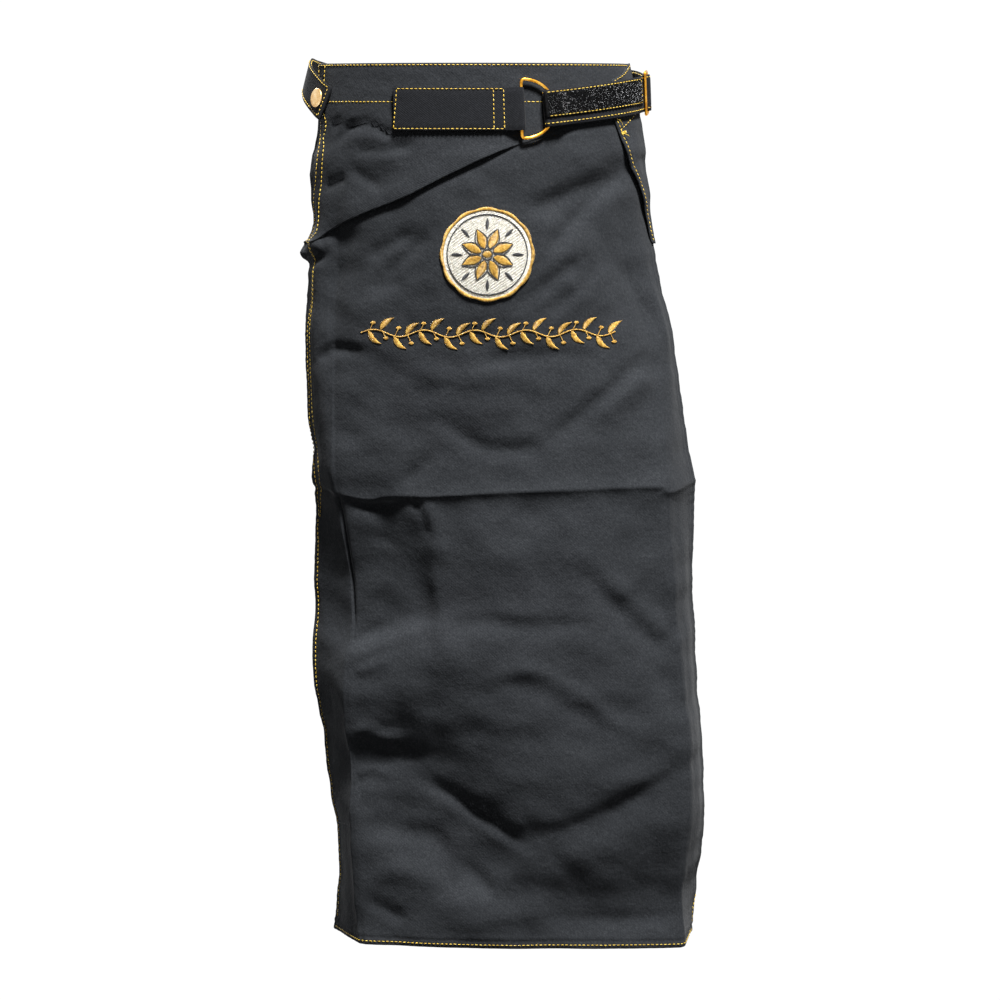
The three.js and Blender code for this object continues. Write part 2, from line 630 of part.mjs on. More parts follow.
// The slide: a rounded frame with a bar across its middle, in one piece.
function slideMesh() {
  const halfHeight = slideInside / 2 + slideRadius;
  const corner = 3;
  const chamfer = corner * (1 - Math.SQRT1_2);
  const points = [];
  for (const [sx, sy] of [[1, 1], [-1, 1], [-1, -1], [1, -1]]) {
    const upright = [slidePitch, halfHeight - corner];
    const level = [slidePitch - corner, halfHeight];
    const between = [slidePitch - chamfer, halfHeight - chamfer];
    const ends = sx * sy > 0 ? [upright, between, level] : [level, between, upright];
    const beyond = sx * sy > 0 ? [0, halfHeight] : [slidePitch, halfHeight / 3];
    for (const [x, y] of [...ends, beyond]) points.push(new THREE.Vector3(sx * x, sy * y, 0));
  }
  const frame = solidOf(closedWire(points, slideRadius, 40, 8));
  const bar = solidOf(new THREE.CylinderGeometry(slideRadius, slideRadius, 2 * halfHeight, 8));
  const mesh = namedMesh("strap_slide", geometryOf(frame.add(bar)), brass);
  const level = outFront + slideStep / 2;
  const [first, last] = [sideLength - slidePitch, sideLength + slidePitch];
  const from = beltPoint(first, strapHeight(first), level);
  const to = beltPoint(last, strapHeight(last), level - slideFall);
  placeOnBelt(mesh, from, to);
  mesh.position.copy(from.add(to).multiplyScalar(0.5));
  return mesh;
}

// The button: a domed cap, its post and the washer inside, turned about its own axis.
const buttonFoot = strapOver + strapWall + 2 * clearance; // out from the panel to the cap's underside
const buttonInner = -(clothWall + hemExtra + clearance); // out from the panel to the washer's face

function buttonAxis() {
  const angle = buttonAngle * degrees;
  const z = buttonHeight * beltDrop;
  return { place: waistPoint(angle, z), normal: waistNormal(angle, z) };
}

function alongButtonAxis(geometry) {
  const { place, normal } = buttonAxis();
  const turn = new THREE.Quaternion().setFromUnitVectors(new THREE.Vector3(0, 1, 0), normal);
  return geometry.applyQuaternion(turn).translate(place.x, place.y, place.z);
}

function buttonGeometry() {
  const profile = [
    [0, buttonInner - washerWall],
    [washerRadius, buttonInner - washerWall],
    [washerRadius, buttonInner],
    [postRadius, buttonInner],
    [postRadius, buttonFoot],
    [buttonRadius - 0.6, buttonFoot],
    [buttonRadius, buttonFoot + 0.5],
    [buttonRadius, buttonFoot + 1.3],
    [buttonRadius * 0.86, buttonFoot + buttonRise * 0.72],
    [buttonRadius * 0.5, buttonFoot + buttonRise * 0.93],
    [0, buttonFoot + buttonRise],
  ];
  const points = profile.map(([radius, height]) => new THREE.Vector2(radius, height));
  return alongButtonAxis(new THREE.LatheGeometry(points, 16));
}

function buttonBore() {
  const reach = 12;
  const radius = postRadius + clearance;
  return solidOf(alongButtonAxis(new THREE.CylinderGeometry(radius, radius, reach, 16)));
}

// The badge: a scalloped disc of embroidery that follows the panel's face.
const scallops = 12;
const scallopDepth = 1.6;

function emblemGeometry() {
  const rings = 3;
  const sectors = scallops * 4;
  const points = [];
  const triangles = [];
  const down = emblemDrop / panelLength;
  const onFace = (radius, turn, out) => {
    const share = down - (radius * Math.sin(turn)) / panelLength;
    return panelPoint(shareAcross(emblemPlace + radius * Math.cos(turn), share), share, out);
  };
  for (const out of [clearance + emblemWall, clearance]) {
    points.push(onFace(0, 0, out));
    for (let ring = 1; ring <= rings; ring++) {
      for (let n = 0; n < sectors; n++) {
        const turn = (2 * Math.PI * n) / sectors;
        const edge = emblemRadius - scallopDepth * (1 - Math.abs(Math.cos((scallops * turn) / 2)));
        points.push(onFace((edge * ring) / rings, turn, out));
      }
    }
  }
  const half = 1 + rings * sectors;
  const at = (ring, n, side) => side * half + (ring ? 1 + (ring - 1) * sectors + (n % sectors) : 0);
  for (let n = 0; n < sectors; n++) {
    triangles.push(at(0, 0, 0), at(1, n, 0), at(1, n + 1, 0));
    triangles.push(at(0, 0, 1), at(1, n + 1, 1), at(1, n, 1));
    for (let ring = 1; ring < rings; ring++) {
      const [a, b, c, d] = [at(ring, n, 0), at(ring + 1, n, 0), at(ring + 1, n + 1, 0), at(ring, n + 1, 0)];
      triangles.push(a, b, c, a, c, d);
      triangles.push(a + half, c + half, b + half, a + half, d + half, c + half);
    }
    const [e, f, g, h] = [at(rings, n, 0), at(rings, n, 1), at(rings, n + 1, 1), at(rings, n + 1, 0)];
    triangles.push(e, f, g, e, g, h);
  }
  return meshOf(points, triangles);
}

const bore = buttonBore();
const { stations, tapeFrom, tapeTo } = strapStations();
const panel = solidOf(panelSheet()).add(solidOf(flapSheet())).subtract(bore);
const strap = solidOf(bandAlong(stations, strapWidth, strapWall)).subtract(bore);

const tape = bandAlong(
  stations.slice(tapeFrom, tapeTo + 1),
  tapeWidth,
  tapeWall,
  tapeLift,
  strapWall / 2 + clearance + tapeWall / 2,
);

const apron = new THREE.Group();
apron.add(
  namedMesh("apron_panel", geometryOf(panel), twill),
  namedMesh("waist_strap", geometryOf(strap), twill),
  namedMesh("ring_tab", tabGeometry(), twill),
  namedMesh("hook_tape", tape, blackTape),
  namedMesh("strap_button", buttonGeometry(), paleBrass),
  namedMesh("emblem", emblemGeometry(), creamThread),
  ringMesh(),
  slideMesh(),
);

export default apron;
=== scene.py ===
import math

import bpy
import numpy as np
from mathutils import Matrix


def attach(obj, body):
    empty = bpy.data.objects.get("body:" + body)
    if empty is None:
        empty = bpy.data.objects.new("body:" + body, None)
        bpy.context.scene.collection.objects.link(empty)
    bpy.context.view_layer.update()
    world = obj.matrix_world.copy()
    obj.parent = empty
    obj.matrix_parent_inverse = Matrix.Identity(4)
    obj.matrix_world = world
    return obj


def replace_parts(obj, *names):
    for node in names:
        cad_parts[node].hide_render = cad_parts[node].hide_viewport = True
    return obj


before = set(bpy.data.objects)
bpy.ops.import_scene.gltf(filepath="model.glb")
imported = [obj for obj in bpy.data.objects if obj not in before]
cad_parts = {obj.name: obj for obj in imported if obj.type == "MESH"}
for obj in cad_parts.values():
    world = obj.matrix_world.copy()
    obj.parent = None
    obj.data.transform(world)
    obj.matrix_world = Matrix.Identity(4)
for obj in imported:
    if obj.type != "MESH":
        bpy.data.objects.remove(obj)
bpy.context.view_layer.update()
mm = 0.001
degree = math.pi / 180


# Small helpers on arrays


def clamp(t):
    # t held between 0 and 1
    return np.clip(t, 0.0, 1.0)


def ease(t):
    # Smooth step from 0 to 1: t^2 (3 - 2t)
    return clamp(t) ** 2 * (3 - 2 * clamp(t))


def unit(vectors):
    # Vectors over their lengths
    return vectors / np.maximum(np.linalg.norm(vectors, axis=-1, keepdims=True), 1e-9)


def bell(t):
    # exp(-t^2)
    return np.exp(-(t**2))


def betweenRows(table, at):
    # Catmull-Rom through the rows of a table, at places counted in rows
    last = len(table) - 1
    k = np.clip(at.astype(int), 0, last - 1)
    t = (at - k)[..., None]
    a, b, c, d = (table[np.clip(k + n, 0, last)] for n in (-1, 0, 1, 2))
    return b + 0.5 * t * (c - a + t * (2 * a - 5 * b + 4 * c - d + t * (3 * (b - c) + d - a)))


def smoothLine(points, count):
    # A smooth curve through the points, sampled evenly in its parameter
    return betweenRows(np.asarray(points, float), np.linspace(0, len(points) - 1, count))


def lengthsAlong(points):
    # Length of a line up to each of its points
    return np.concatenate([[0], np.cumsum(np.linalg.norm(np.diff(points, axis=0), axis=1))])


def alongLine(points, spacing):
    # The same line at even steps of its length, by straight interpolation
    length = lengthsAlong(points)
    count = max(2, int(round(length[-1] / spacing)) + 1)
    at = np.linspace(0, length[-1], count)
    return np.stack([np.interp(at, length, points[:, n]) for n in range(points.shape[1])], axis=1)


def spread(count, places, strength, reach):
    # Shares from 0 to 1, closer near the places: the inverse of a summed density with a bump at each
    t = np.linspace(0, 1, 2001)
    density = 1 + sum(strength * bell((t - place) / reach) for place in places)
    summed = np.concatenate([[0], np.cumsum((density[1:] + density[:-1]) / 2)])
    return np.interp(np.linspace(0, summed[-1], count), summed, t)


def gridFaces(rows, columns, closeRows=False, closeColumns=False):
    # Quads between neighbours of a rows x columns grid of points, wrapped round where it closes
    r = np.arange(rows if closeRows else rows - 1)[:, None]
    c = np.arange(columns if closeColumns else columns - 1)[None, :]
    below, beside = (r + 1) % rows * columns, (c + 1) % columns
    r = r * columns
    return np.stack([r + c, below + c, below + beside, r + beside], -1).reshape(-1, 4)


def insideOut(points, faces):
    # Whether the signed volume of a mesh, the sum of p0 . (p1 x p2) over its triangles, isn't positive
    p = points[faces]
    volume = np.einsum("ij,ij->i", p[:, 0], np.cross(p[:, 1], p[:, 2])).sum()
    if faces.shape[1] == 4:
        volume += np.einsum("ij,ij->i", p[:, 0], np.cross(p[:, 2], p[:, 3])).sum()
    return volume <= 0


def outward(points, faces):
    # The faces, turned round if they look inwards
    return faces[:, ::-1] if insideOut(points, faces) else faces


def addMesh(name, points, faceLists, material, uv=None):
    # points in mm; faceLists is one array of faces or several; uv is one pair per vertex, in metres
    lists = faceLists if isinstance(faceLists, list) else [faceLists]
    mesh = bpy.data.meshes.new(name)
    mesh.from_pydata((points * mm).tolist(), [], [face for faces in lists for face in faces.tolist()])
    mesh.polygons.foreach_set("use_smooth", np.ones(len(mesh.polygons), bool))
    if uv is not None:
        loops = np.zeros(len(mesh.loops), np.int32)
        mesh.loops.foreach_get("vertex_index", loops)
        mesh.uv_layers.new(name="cloth").data.foreach_set("uv", uv[loops].astype(np.float32).ravel())
    mesh.materials.append(material)
    mesh.update()
    piece = bpy.data.objects.new(name, mesh)
    bpy.context.scene.collection.objects.link(piece)
    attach(piece, "root")
    return piece


def wallFaces(rows, columns):
    # Faces of a closed wall between two grids of points, front then back, with its four rims
    half = rows * columns
    front = gridFaces(rows, columns)
    back = front[:, ::-1] + half
    rims = []
    top, foot = np.arange(columns), np.arange(columns) + (rows - 1) * columns
    left, right = np.arange(rows) * columns, np.arange(rows) * columns + columns - 1
    for line, turn in ((top, 1), (foot, -1), (left, -1), (right, 1)):
        quad = np.stack([line[:-1], line[1:], line[1:] + half, line[:-1] + half], -1)
        rims.append(quad[:, ::turn])
    return np.concatenate([front, back, *rims])


# Materials


def linear(hexColour):
    # sRGB hex to linear: ((c + 0.055) / 1.055)^2.4, or c / 12.92 near black
    values = [int(hexColour[n : n + 2], 16) / 255 for n in (1, 3, 5)]
    return [((c + 0.055) / 1.055) ** 2.4 if c > 0.04045 else c / 12.92 for c in values] + [1.0]


def addNode(tree, kind, settings=None, **inputs):
    # A node of that kind, with its properties set and each input, by name or as i and number, linked or set
    node = tree.nodes.new(kind)
    for key, value in (settings or {}).items():
        setattr(node, key, value)
    for key, value in inputs.items():
        socket = node.inputs[int(key[1:]) if key[1:].isdigit() else key.replace("_", " ")]
        if isinstance(value, bpy.types.NodeSocket):
            tree.links.new(value, socket)
        else:
            socket.default_value = value
    return node


def newMaterial(name, **shader):
    # A material whose constants are on the shader's own sockets
    material = bpy.data.materials.new(name)
    material.use_nodes = True
    tree = material.node_tree
    surface = tree.nodes["Principled BSDF"]
    for key, value in shader.items():
        surface.inputs[key.replace("_", " ")].default_value = value
    return material, tree, surface


def noise(tree, place, scale, detail, roughness=0.5):
    # Fractal noise at a place, from 0 to 1
    return addNode(tree, "ShaderNodeTexNoise", Vector=place, Scale=scale, Detail=detail,
                   Roughness=roughness).outputs["Fac"]


def bumped(tree, height, strength, distance, **base):
    # The normal tilted by the slope of a height, on top of the base's normal if one is given
    return addNode(tree, "ShaderNodeBump", Strength=strength, Distance=distance, Height=height,
                   **base).outputs["Normal"]


def ramp(tree, factor, places, tones):
    # A colour ramp through the tones at their places
    node = addNode(tree, "ShaderNodeValToRGB", Fac=factor)
    while len(node.color_ramp.elements) < len(places):
        node.color_ramp.elements.new(0.5)
    for element, place, tone in zip(node.color_ramp.elements, places, tones):
        element.position = place
        element.color = linear(tone)
    return node.outputs["Color"]


def twillMaterial(name, tones, ribBump=0.22, crumple=0.3):
    # Cotton-mix twill, piece-dyed black, matt with a faint bloom: diagonal ribs, slubs along the warp and
    # lint. Its tone is speckle + slub / 2 + ribs / 10 + 0.22 wear
    material, tree, surface = newMaterial(name, Roughness=0.8, Sheen_Weight=0.05, Sheen_Roughness=0.5,
                                          Specular_IOR_Level=0.06)
    ribPitch, bandsPerUnit = 0.0013, 3.18  # ribs in metres, coarser than real; bands of a wave at scale 1
    flat = addNode(tree, "ShaderNodeUVMap", {"uv_map": "cloth"}).outputs["UV"]
    turned = addNode(tree, "ShaderNodeMapping", Vector=flat, Rotation=(0, 0, 63 * degree)).outputs["Vector"]
    ribs = addNode(tree, "ShaderNodeTexWave", {"wave_type": "BANDS"}, Vector=turned, Distortion=0.8,
                   Detail=1.0, Detail_Scale=2.0, Scale=1 / (ribPitch * bandsPerUnit)).outputs["Fac"]
    long = addNode(tree, "ShaderNodeMapping", Vector=flat, Scale=(900, 210, 1)).outputs["Vector"]
    slub = noise(tree, long, 1.0, 2.0, 0.6)
    place = addNode(tree, "ShaderNodeTexCoord").outputs["Object"]
    speckle = noise(tree, place, 520.0, 2.0, 0.8)
    wear = noise(tree, place, 38.0, 3.0, 0.6)
    tone = speckle
    for layer, weight in ((slub, 0.5), (ribs, 0.1), (wear, 0.22)):
        tone = addNode(tree, "ShaderNodeMath", {"operation": "MULTIPLY_ADD"}, i0=layer, i1=weight,
                       i2=tone).outputs[0]
    share = addNode(tree, "ShaderNodeMapRange", Value=tone, From_Min=0.5, From_Max=1.3).outputs["Result"]
    tree.links.new(ramp(tree, share, (0.15, 0.5, 0.85), tones), surface.inputs["Base Color"])
    normal = bumped(tree, ribs, ribBump, 0.0005)
    normal = bumped(tree, noise(tree, place, 70.0, 4.0, 0.62), crumple, 0.003, Normal=normal)
    tree.links.new(bumped(tree, speckle, 0.35, 0.0006, Normal=normal), surface.inputs["Normal"])
    return material


def threadMaterial(name, tones, sheen=0.3, roughness=0.5, gloss=0.5):
    # Spun polyester sewing thread: a soft gloss and a little change of tone along it
    material, tree, surface = newMaterial(name, Roughness=roughness, Sheen_Weight=sheen, Sheen_Roughness=0.3,
                                          Specular_IOR_Level=gloss)
    place = addNode(tree, "ShaderNodeTexCoord").outputs["Object"]
    tone = noise(tree, place, 420.0, 2.0)
    tree.links.new(ramp(tree, tone, (0.3, 0.5, 0.7), tones), surface.inputs["Base Color"])
    tree.links.new(bumped(tree, noise(tree, place, 1500.0, 1.0), 0.4, 0.0002), surface.inputs["Normal"])
    return material


def metalMaterial(name, tones, roughness):
    # Antique-gold plated brass wire: satin, browner where rubbed and in the hollows, with fine scratches
    material, tree, surface = newMaterial(name, Metallic=1.0)
    place = addNode(tree, "ShaderNodeTexCoord").outputs["Object"]
    tarnish = noise(tree, place, 130.0, 5.0, 0.65)
    tree.links.new(ramp(tree, tarnish, (0.32, 0.5, 0.66), tones), surface.inputs["Base Color"])
    gloss = addNode(tree, "ShaderNodeMapRange", Value=tarnish, To_Min=roughness + 0.12,
                    To_Max=roughness - 0.08)
    tree.links.new(gloss.outputs["Result"], surface.inputs["Roughness"])
    tree.links.new(bumped(tree, noise(tree, place, 900.0, 2.0), 0.12, 0.0002), surface.inputs["Normal"])
    return material


twill = twillMaterial("black_cotton_twill", ["#25272a", "#2e3033", "#3a3c3f"], crumple=0.42)
webbing = twillMaterial("black_twill_strap", ["#1a1b1d", "#202124", "#292a2d"], ribBump=0.3, crumple=0.12)
mustardThread = threadMaterial("mustard_polyester_thread", ["#a8851c", "#d8b236", "#f0d868"])
goldThread = threadMaterial("gold_rayon_thread", ["#9a7026", "#c79a3f", "#e2bd66"], roughness=0.38)
creamThread = threadMaterial("cream_rayon_thread", ["#cfc9ba", "#ece8dc", "#faf8f0"], roughness=0.45)
charcoalThread = threadMaterial("charcoal_rayon_thread", ["#1a1a1c", "#2a2a2d", "#3a3a3d"], roughness=0.45)
hookNylon = threadMaterial("black_nylon_hooks", ["#040404", "#0a0a0b", "#1a1b1d"], sheen=0.0, gloss=0.08)
# Pale copies of the black hooks: painted glints, a painted highlight standing in for light on the hooks' tips
paintedGlintHooks = threadMaterial("pale_hooks_painted_glints", ["#7d7e82", "#b9babd", "#ececee"], sheen=0.0, roughness=0.3)
brass = metalMaterial("antique_gold_brass", ["#9a6222", "#d6982e", "#f0bb58"], 0.3)
paleBrass = metalMaterial("pale_satin_brass", ["#bd9259", "#e4bf86", "#f3d9ac"], 0.38)
print("materials made")


# The worn waist and the panel's face

waist = {
    "halfWidth": 166.0,  # at the top edge, to the panel's outer face
    "frontDepth": 118.0,
    "backDepth": 104.0,
    "sideFlare": 0.19,  # growth for each millimetre down
    "depthFlare": 0.05,
}
panel = {
    "length": 886.0,
    "leftAngle": -70.0,  # its left edge on the oval
    "rightAngle": 72.0,  # the fold of its dog-ear
    "wall": 1.4,
    "hem": 11.0,
    "hemExtra": 1.0,
    "facing": 38.0,
    "edgeRound": 1.1,
    "columns": 172,
    "rows": 262,
}
# Corners of the section: across in waist half widths, y and belly in front depths, at even shares down
corners = np.array([0.0, 0.16, 0.85, 1.0])
sections = [
    # share down, across at the four corners, y at the four corners, belly, soft
    (0.0, (-0.94, -0.82, 0.82, 0.96), (-0.34, -0.72, -0.72, -0.34), 0.34, 0.3),
    (0.1, (-1.0, -0.9, 0.88, 1.01), (-0.36, -0.74, -0.74, -0.36), 0.34, 0.3),
    (0.2, (-1.01, -0.93, 0.98, 1.1), (-0.36, -0.76, -0.72, -0.36), 0.35, 0.22),
    (0.3, (-1.05, -0.9, 1.1, 1.21), (-0.42, -0.82, -0.7, -0.38), 0.28, 0.12),
    (0.4, (-1.04, -0.86, 1.13, 1.3), (-0.48, -0.86, -0.82, -0.42), 0.2, 0.05),
    (0.5, (-0.98, -0.82, 1.16, 1.37), (-0.53, -0.87, -0.9, -0.47), 0.15, 0.022),
    (0.6, (-1.02, -0.77, 1.2, 1.36), (-0.53, -0.88, -0.95, -0.51), 0.13, 0.016),
    (0.7, (-1.01, -0.78, 1.24, 1.37), (-0.51, -0.9, -0.98, -0.53), 0.12, 0.014),
    (0.8, (-0.94, -0.77, 1.26, 1.39), (-0.47, -0.9, -1.0, -0.54), 0.11, 0.014),
    (0.9, (-0.86, -0.74, 1.27, 1.42), (-0.44, -0.9, -1.02, -0.51), 0.11, 0.014),
    (1.0, (-0.9, -0.7, 1.27, 1.34), (-0.37, -0.9, -1.02, -0.44), 0.11, 0.014),
]
sectionTable = np.array([[*across, *y, belly, soft] for _, across, y, belly, soft in sections])
ovalUntil, cornersFrom = 0.1, 0.3  # shares down between which the oval turns into the cornered section
# How far the worn cloth is drawn in (left, then right) or stands out at its side edges, as (z, mm along +X)
drawn = {
    "left": [(0, -1), (-20, 2), (-35, 6), (-60, 8), (-73, 8), (-85, 9), (-97, 8), (-110, 6.5), (-135, 7.2),
             (-160, 7.8), (-178, 6), (-190, -1), (-203, 2.5), (-220, 3), (-230, 1), (-265, 3.6), (-360, 4.5),
             (-385, 8), (-400, 5), (-415, 1.2), (-470, 0), (-530, 2.3), (-680, 2.8), (-720, 1.5), (-800, 2),
             (-840, 3.3), (-886, 3)],
    "right": [(0, -4.5), (-45, -3.4), (-60, -2.7), (-85, -4.4), (-97, -6), (-108, -5.5), (-120, -3.8),
              (-132, -1.6), (-150, -1), (-158, 0), (-170, 2), (-182, 1), (-205, 0), (-230, -2), (-300, -3.2),
              (-330, -4.8), (-360, -5.5), (-390, -4.5), (-420, -2.8), (-450, -4), (-480, -7.5), (-510, -7.5),
              (-540, -5.6), (-630, -5.7), (-690, -4.3), (-720, -6), (-750, -6.5), (-780, -4.5), (-812, -4.5),
              (-840, -0.6), (-886, 0)],
    "reach": 0.1,
}
drawnLines = {side: np.array(drawn[side][::-1], float) for side in ("left", "right")}


def waistPoint(angle, z, out=0.0):
    # Oval (a sin t, -b cos t, z) pushed out along its normal, where a and b grow downwards
    angle, z = np.broadcast_arrays(np.asarray(angle, float), np.asarray(z, float))
    a = waist["halfWidth"] - waist["sideFlare"] * z
    b = np.where(np.cos(angle) > 0, waist["frontDepth"], waist["backDepth"]) - waist["depthFlare"] * z
    s, c = np.sin(angle), np.cos(angle)
    around = np.stack([a * c, b * s, 0 * a], -1)
    upwards = np.stack([-waist["sideFlare"] * s, waist["depthFlare"] * c, 1 + 0 * a], -1)
    normal = unit(np.cross(around, upwards))
    return np.stack([a * s, -b * c, z], -1) + normal * np.asarray(out)[..., None], normal


def sectionAt(down):
    # Across, y, belly and softness of the section at whole arrays of shares down
    values = betweenRows(sectionTable, down * (len(sectionTable) - 1))
    return values[..., 0:4], values[..., 4:8], values[..., 8], np.maximum(0.01, values[..., 9])


def softened(values, u, soft):
    # Straight runs between the corners, averaged over a window of samples, which rounds them
    overrun, samples = 0.02, 9
    reach = np.minimum(np.minimum(soft, u + overrun), 1 + overrun - u)
    total = 0.0
    for step in range(samples):
        at = u + reach * ((2 * step + 1) / samples - 1)
        n = np.clip(np.searchsorted(corners, at) - 1, 0, 2)
        low = np.take_along_axis(values, n[..., None], -1)[..., 0]
        high = np.take_along_axis(values, n[..., None] + 1, -1)[..., 0]
        total = total + low + (high - low) * (at - corners[n]) / (corners[n + 1] - corners[n])
    return total / samples


def panelBase(u, down):
    # The face without folds: the waist's oval at the top, blended into the cornered section below
    u, down = np.broadcast_arrays(np.asarray(u, float), np.asarray(down, float))
    z = -down * panel["length"]
    across, depth, belly, soft = sectionAt(down)
    front = clamp((u - corners[1]) / (corners[2] - corners[1]))
    x = softened(across, u, soft) * waist["halfWidth"]
    y = (softened(depth, u, soft) - 4 * front * (1 - front) * belly) * waist["frontDepth"]
    angle = (panel["leftAngle"] + (panel["rightAngle"] - panel["leftAngle"]) * u) * degree
    oval, _ = waistPoint(angle, np.maximum(z, -ovalUntil * panel["length"]))
    share = ease((down - ovalUntil) / (cornersFrom - ovalUntil))[..., None]
    oval[..., 2] = z
    point = oval * (1 - share) + np.stack([x, y, z], -1) * share
    for side, inwards in (("left", u), ("right", 1 - u)):
        line = drawnLines[side]
        point[..., 0] += np.interp(z, line[:, 0], line[:, 1]) * (1 - ease(inwards / drawn["reach"]))
    return point


def stepsOn(face, u, down, h, past=0.0):
    # Differences over h across and down a face; those across may reach past its edges
    across = face(np.minimum(1 + past, u + h), down) - face(np.maximum(-past, u - h), down)
    return across, face(u, np.minimum(1, down + h)) - face(u, np.maximum(0, down - h))


def baseNormal(u, down):
    # Cross product of the steps down and across the base
    across, downwards = stepsOn(panelBase, u, down, 0.004, past=0.004)
    return unit(np.cross(downwards, across))


# Folds

pull = {
    # The long tension fold: its line on the front as (x, z), its strength at shares along it, and
    # its profile in mm
    "line": [(-178, -190), (-159, -178), (-143, -165), (-108, -147), (-69, -131), (-34, -113), (1, -96),
             (25, -86), (51, -77), (84, -66), (137, -55), (170, -50)],
    "strength": [(0, 0.35), (0.12, 0.7), (0.3, 1.0), (0.62, 0.9), (0.8, 0.45), (1.0, 0.25)],
    "fade": 10.0,  # past its ends
    "ridge": 3.2,
    "ridgeReach": 17.0,
    "valley": 1.4,
    "valleyReach": 6.0,
    "step": 0.8,
    "overhang": 2.0,
    "overhangReach": 5.0,
}
pullLine = smoothLine(pull["line"], 120)

# Each row: height in mm, reach above and below, power (2 for a round fold, 1 for a crease), and its line
folds = [
    (-3.4, 9, 6, 1, [(160, -98), (146, -110), (125, -128), (102, -151), (84, -172), (66, -192)]),
    (2.4, 12, 22, 2, [(165, -118), (128, -142), (104, -168), (84, -196)]),
    (-2.2, 9, 9, 2, [(158, -90), (128, -110), (100, -124), (60, -140)]),
    (-1.6, 7, 10, 2, [(150, -112), (120, -122), (84, -134), (54, -142)]),
    (-2.6, 7, 9, 2, [(-40, -166), (-69, -190), (-93, -212)]),
    (-2.0, 6, 8, 2, [(-63, -166), (-84, -178), (-108, -190)]),
    (-1.5, 8, 8, 2, [(-50, -200), (-75, -214), (-110, -226)]),
    (-2.8, 6, 8, 2, [(105, -193), (75, -213), (37, -237)]),
    (-2.2, 6, 7, 2, [(117, -210), (93, -231), (70, -246)]),
    (1.6, 8, 8, 2, [(140, -196), (112, -222), (92, -240)]),
    (-2.8, 3, 3, 2, [(-147, -58), (-132, -60), (-118, -60)]),
    (-3.4, 3, 4, 2, [(-136, -74), (-124, -64), (-108, -60), (-96, -63), (-84, -70), (-78, -62)]),
    (-2.4, 5, 5, 2, [(-122, -84), (-95, -85), (-60, -80)]),
    (-2.6, 4, 3, 2, [(-149, -122), (-138, -119), (-128, -113)]),
    (-2.0, 6, 5, 2, [(-122, -104), (-110, -113), (-93, -122)]),
    (-1.3, 6, 6, 2, [(-141, -17), (-100, -18), (-53, -18), (10, -15)]),
    (-1.0, 5, 6, 2, [(30, -10), (75, -8)]),
    (-3.2, 5, 9, 2, [(-158, -296), (-148, -286), (-135, -281), (-105, -284)]),
    (-2.2, 7, 9, 2, [(7, -293), (55, -287), (114, -288)]),
    (1.4, 10, 12, 2, [(-70, -300), (-20, -306), (40, -304)]),
    (-2.6, 7, 9, 2, [(167, -293), (144, -314), (114, -338), (78, -368)]),
    (2.0, 8, 12, 2, [(172, -306), (150, -326), (122, -350)]),
    (-2.6, 8, 9, 2, [(-34, -353), (7, -377), (40, -380), (70, -374)]),
    (-2.4, 14, 14, 2, [(-110, -330), (-125, -355), (-118, -380)]),
    (-2.0, 6, 8, 2, [(-45, -385), (-55, -400), (-70, -412)]),
    (-3.0, 16, 14, 2, [(-96, -432), (-90, -456), (-96, -482)]),
    (2.4, 10, 8, 2, [(-52, -432), (-44, -458), (-36, -488)]),
    (3.0, 26, 40, 2, [(-20, -462), (40, -470), (110, -462)]),
    (2.6, 10, 12, 2, [(125, -505), (160, -535), (197, -569)]),
    (-2.2, 10, 12, 2, [(112, -512), (150, -548), (185, -584)]),
    (2.6, 8, 7, 2, [(-128, -592), (-110, -584), (-94, -577), (-60, -563), (-30, -560)]),
    (-2.2, 6, 6, 2, [(-128, -578), (-112, -570), (-92, -562)]),
    (-2.2, 8, 10, 2, [(-30, -556), (12, -552), (70, -556), (129, -554)]),
    (1.8, 6, 6, 2, [(-122, -606), (-100, -598), (-82, -590)]),
    (1.7, 7, 9, 2, [(4, -612), (30, -603), (61, -600), (103, -623), (135, -648), (165, -668)]),
    (-1.0, 8, 12, 2, [(0, -628), (50, -616), (92, -640), (130, -668)]),
    (-3.0, 30, 34, 2, [(-10, -650), (6, -690), (16, -730), (30, -768)]),
    (1.4, 32, 36, 2, [(70, -680), (120, -700), (170, -690)]),
    (-4.2, 9, 22, 2, [(62, -764), (99, -759), (150, -734), (214, -698)]),
    (-3.6, 9, 10, 2, [(-53, -716), (-10, -742), (50, -778)]),
    (2.4, 7, 9, 2, [(-40, -730), (0, -756), (44, -784)]),
    (-2.8, 9, 9, 2, [(-15, -801), (4, -818), (16, -832)]),
    (2.4, 6, 7, 2, [(-124, -668), (-108, -664), (-92, -672), (-70, -668)]),
    (-1.6, 7, 7, 2, [(-120, -690), (-100, -684), (-72, -694), (-50, -690)]),
    (2.0, 5, 7, 2, [(-122, -712), (-106, -706), (-84, -712)]),
    (1.6, 9, 12, 2, [(-118, -728), (-96, -726), (-70, -734)]),
    (-3.4, 12, 12, 2, [(-114, -760), (-80, -770), (-44, -776), (-28, -800)]),
    (1.6, 9, 16, 2, [(-105, -822), (-76, -806), (-45, -814), (-28, -830)]),
    (-2.0, 7, 7, 2, [(-108, -842), (-90, -850), (-70, -860)]),
    (-1.6, 8, 8, 2, [(61, -855), (130, -857), (207, -855)]),
    (1.2, 8, 8, 2, [(-20, -862), (40, -852), (90, -858)]),
    (4.5, 8, 7, 2, [(-150, -178), (-166, -184), (-180, -196)]),
    (-2.6, 4, 5, 2, [(-148, -190), (-166, -198), (-178, -206)]),
]
foldGain = 1.25
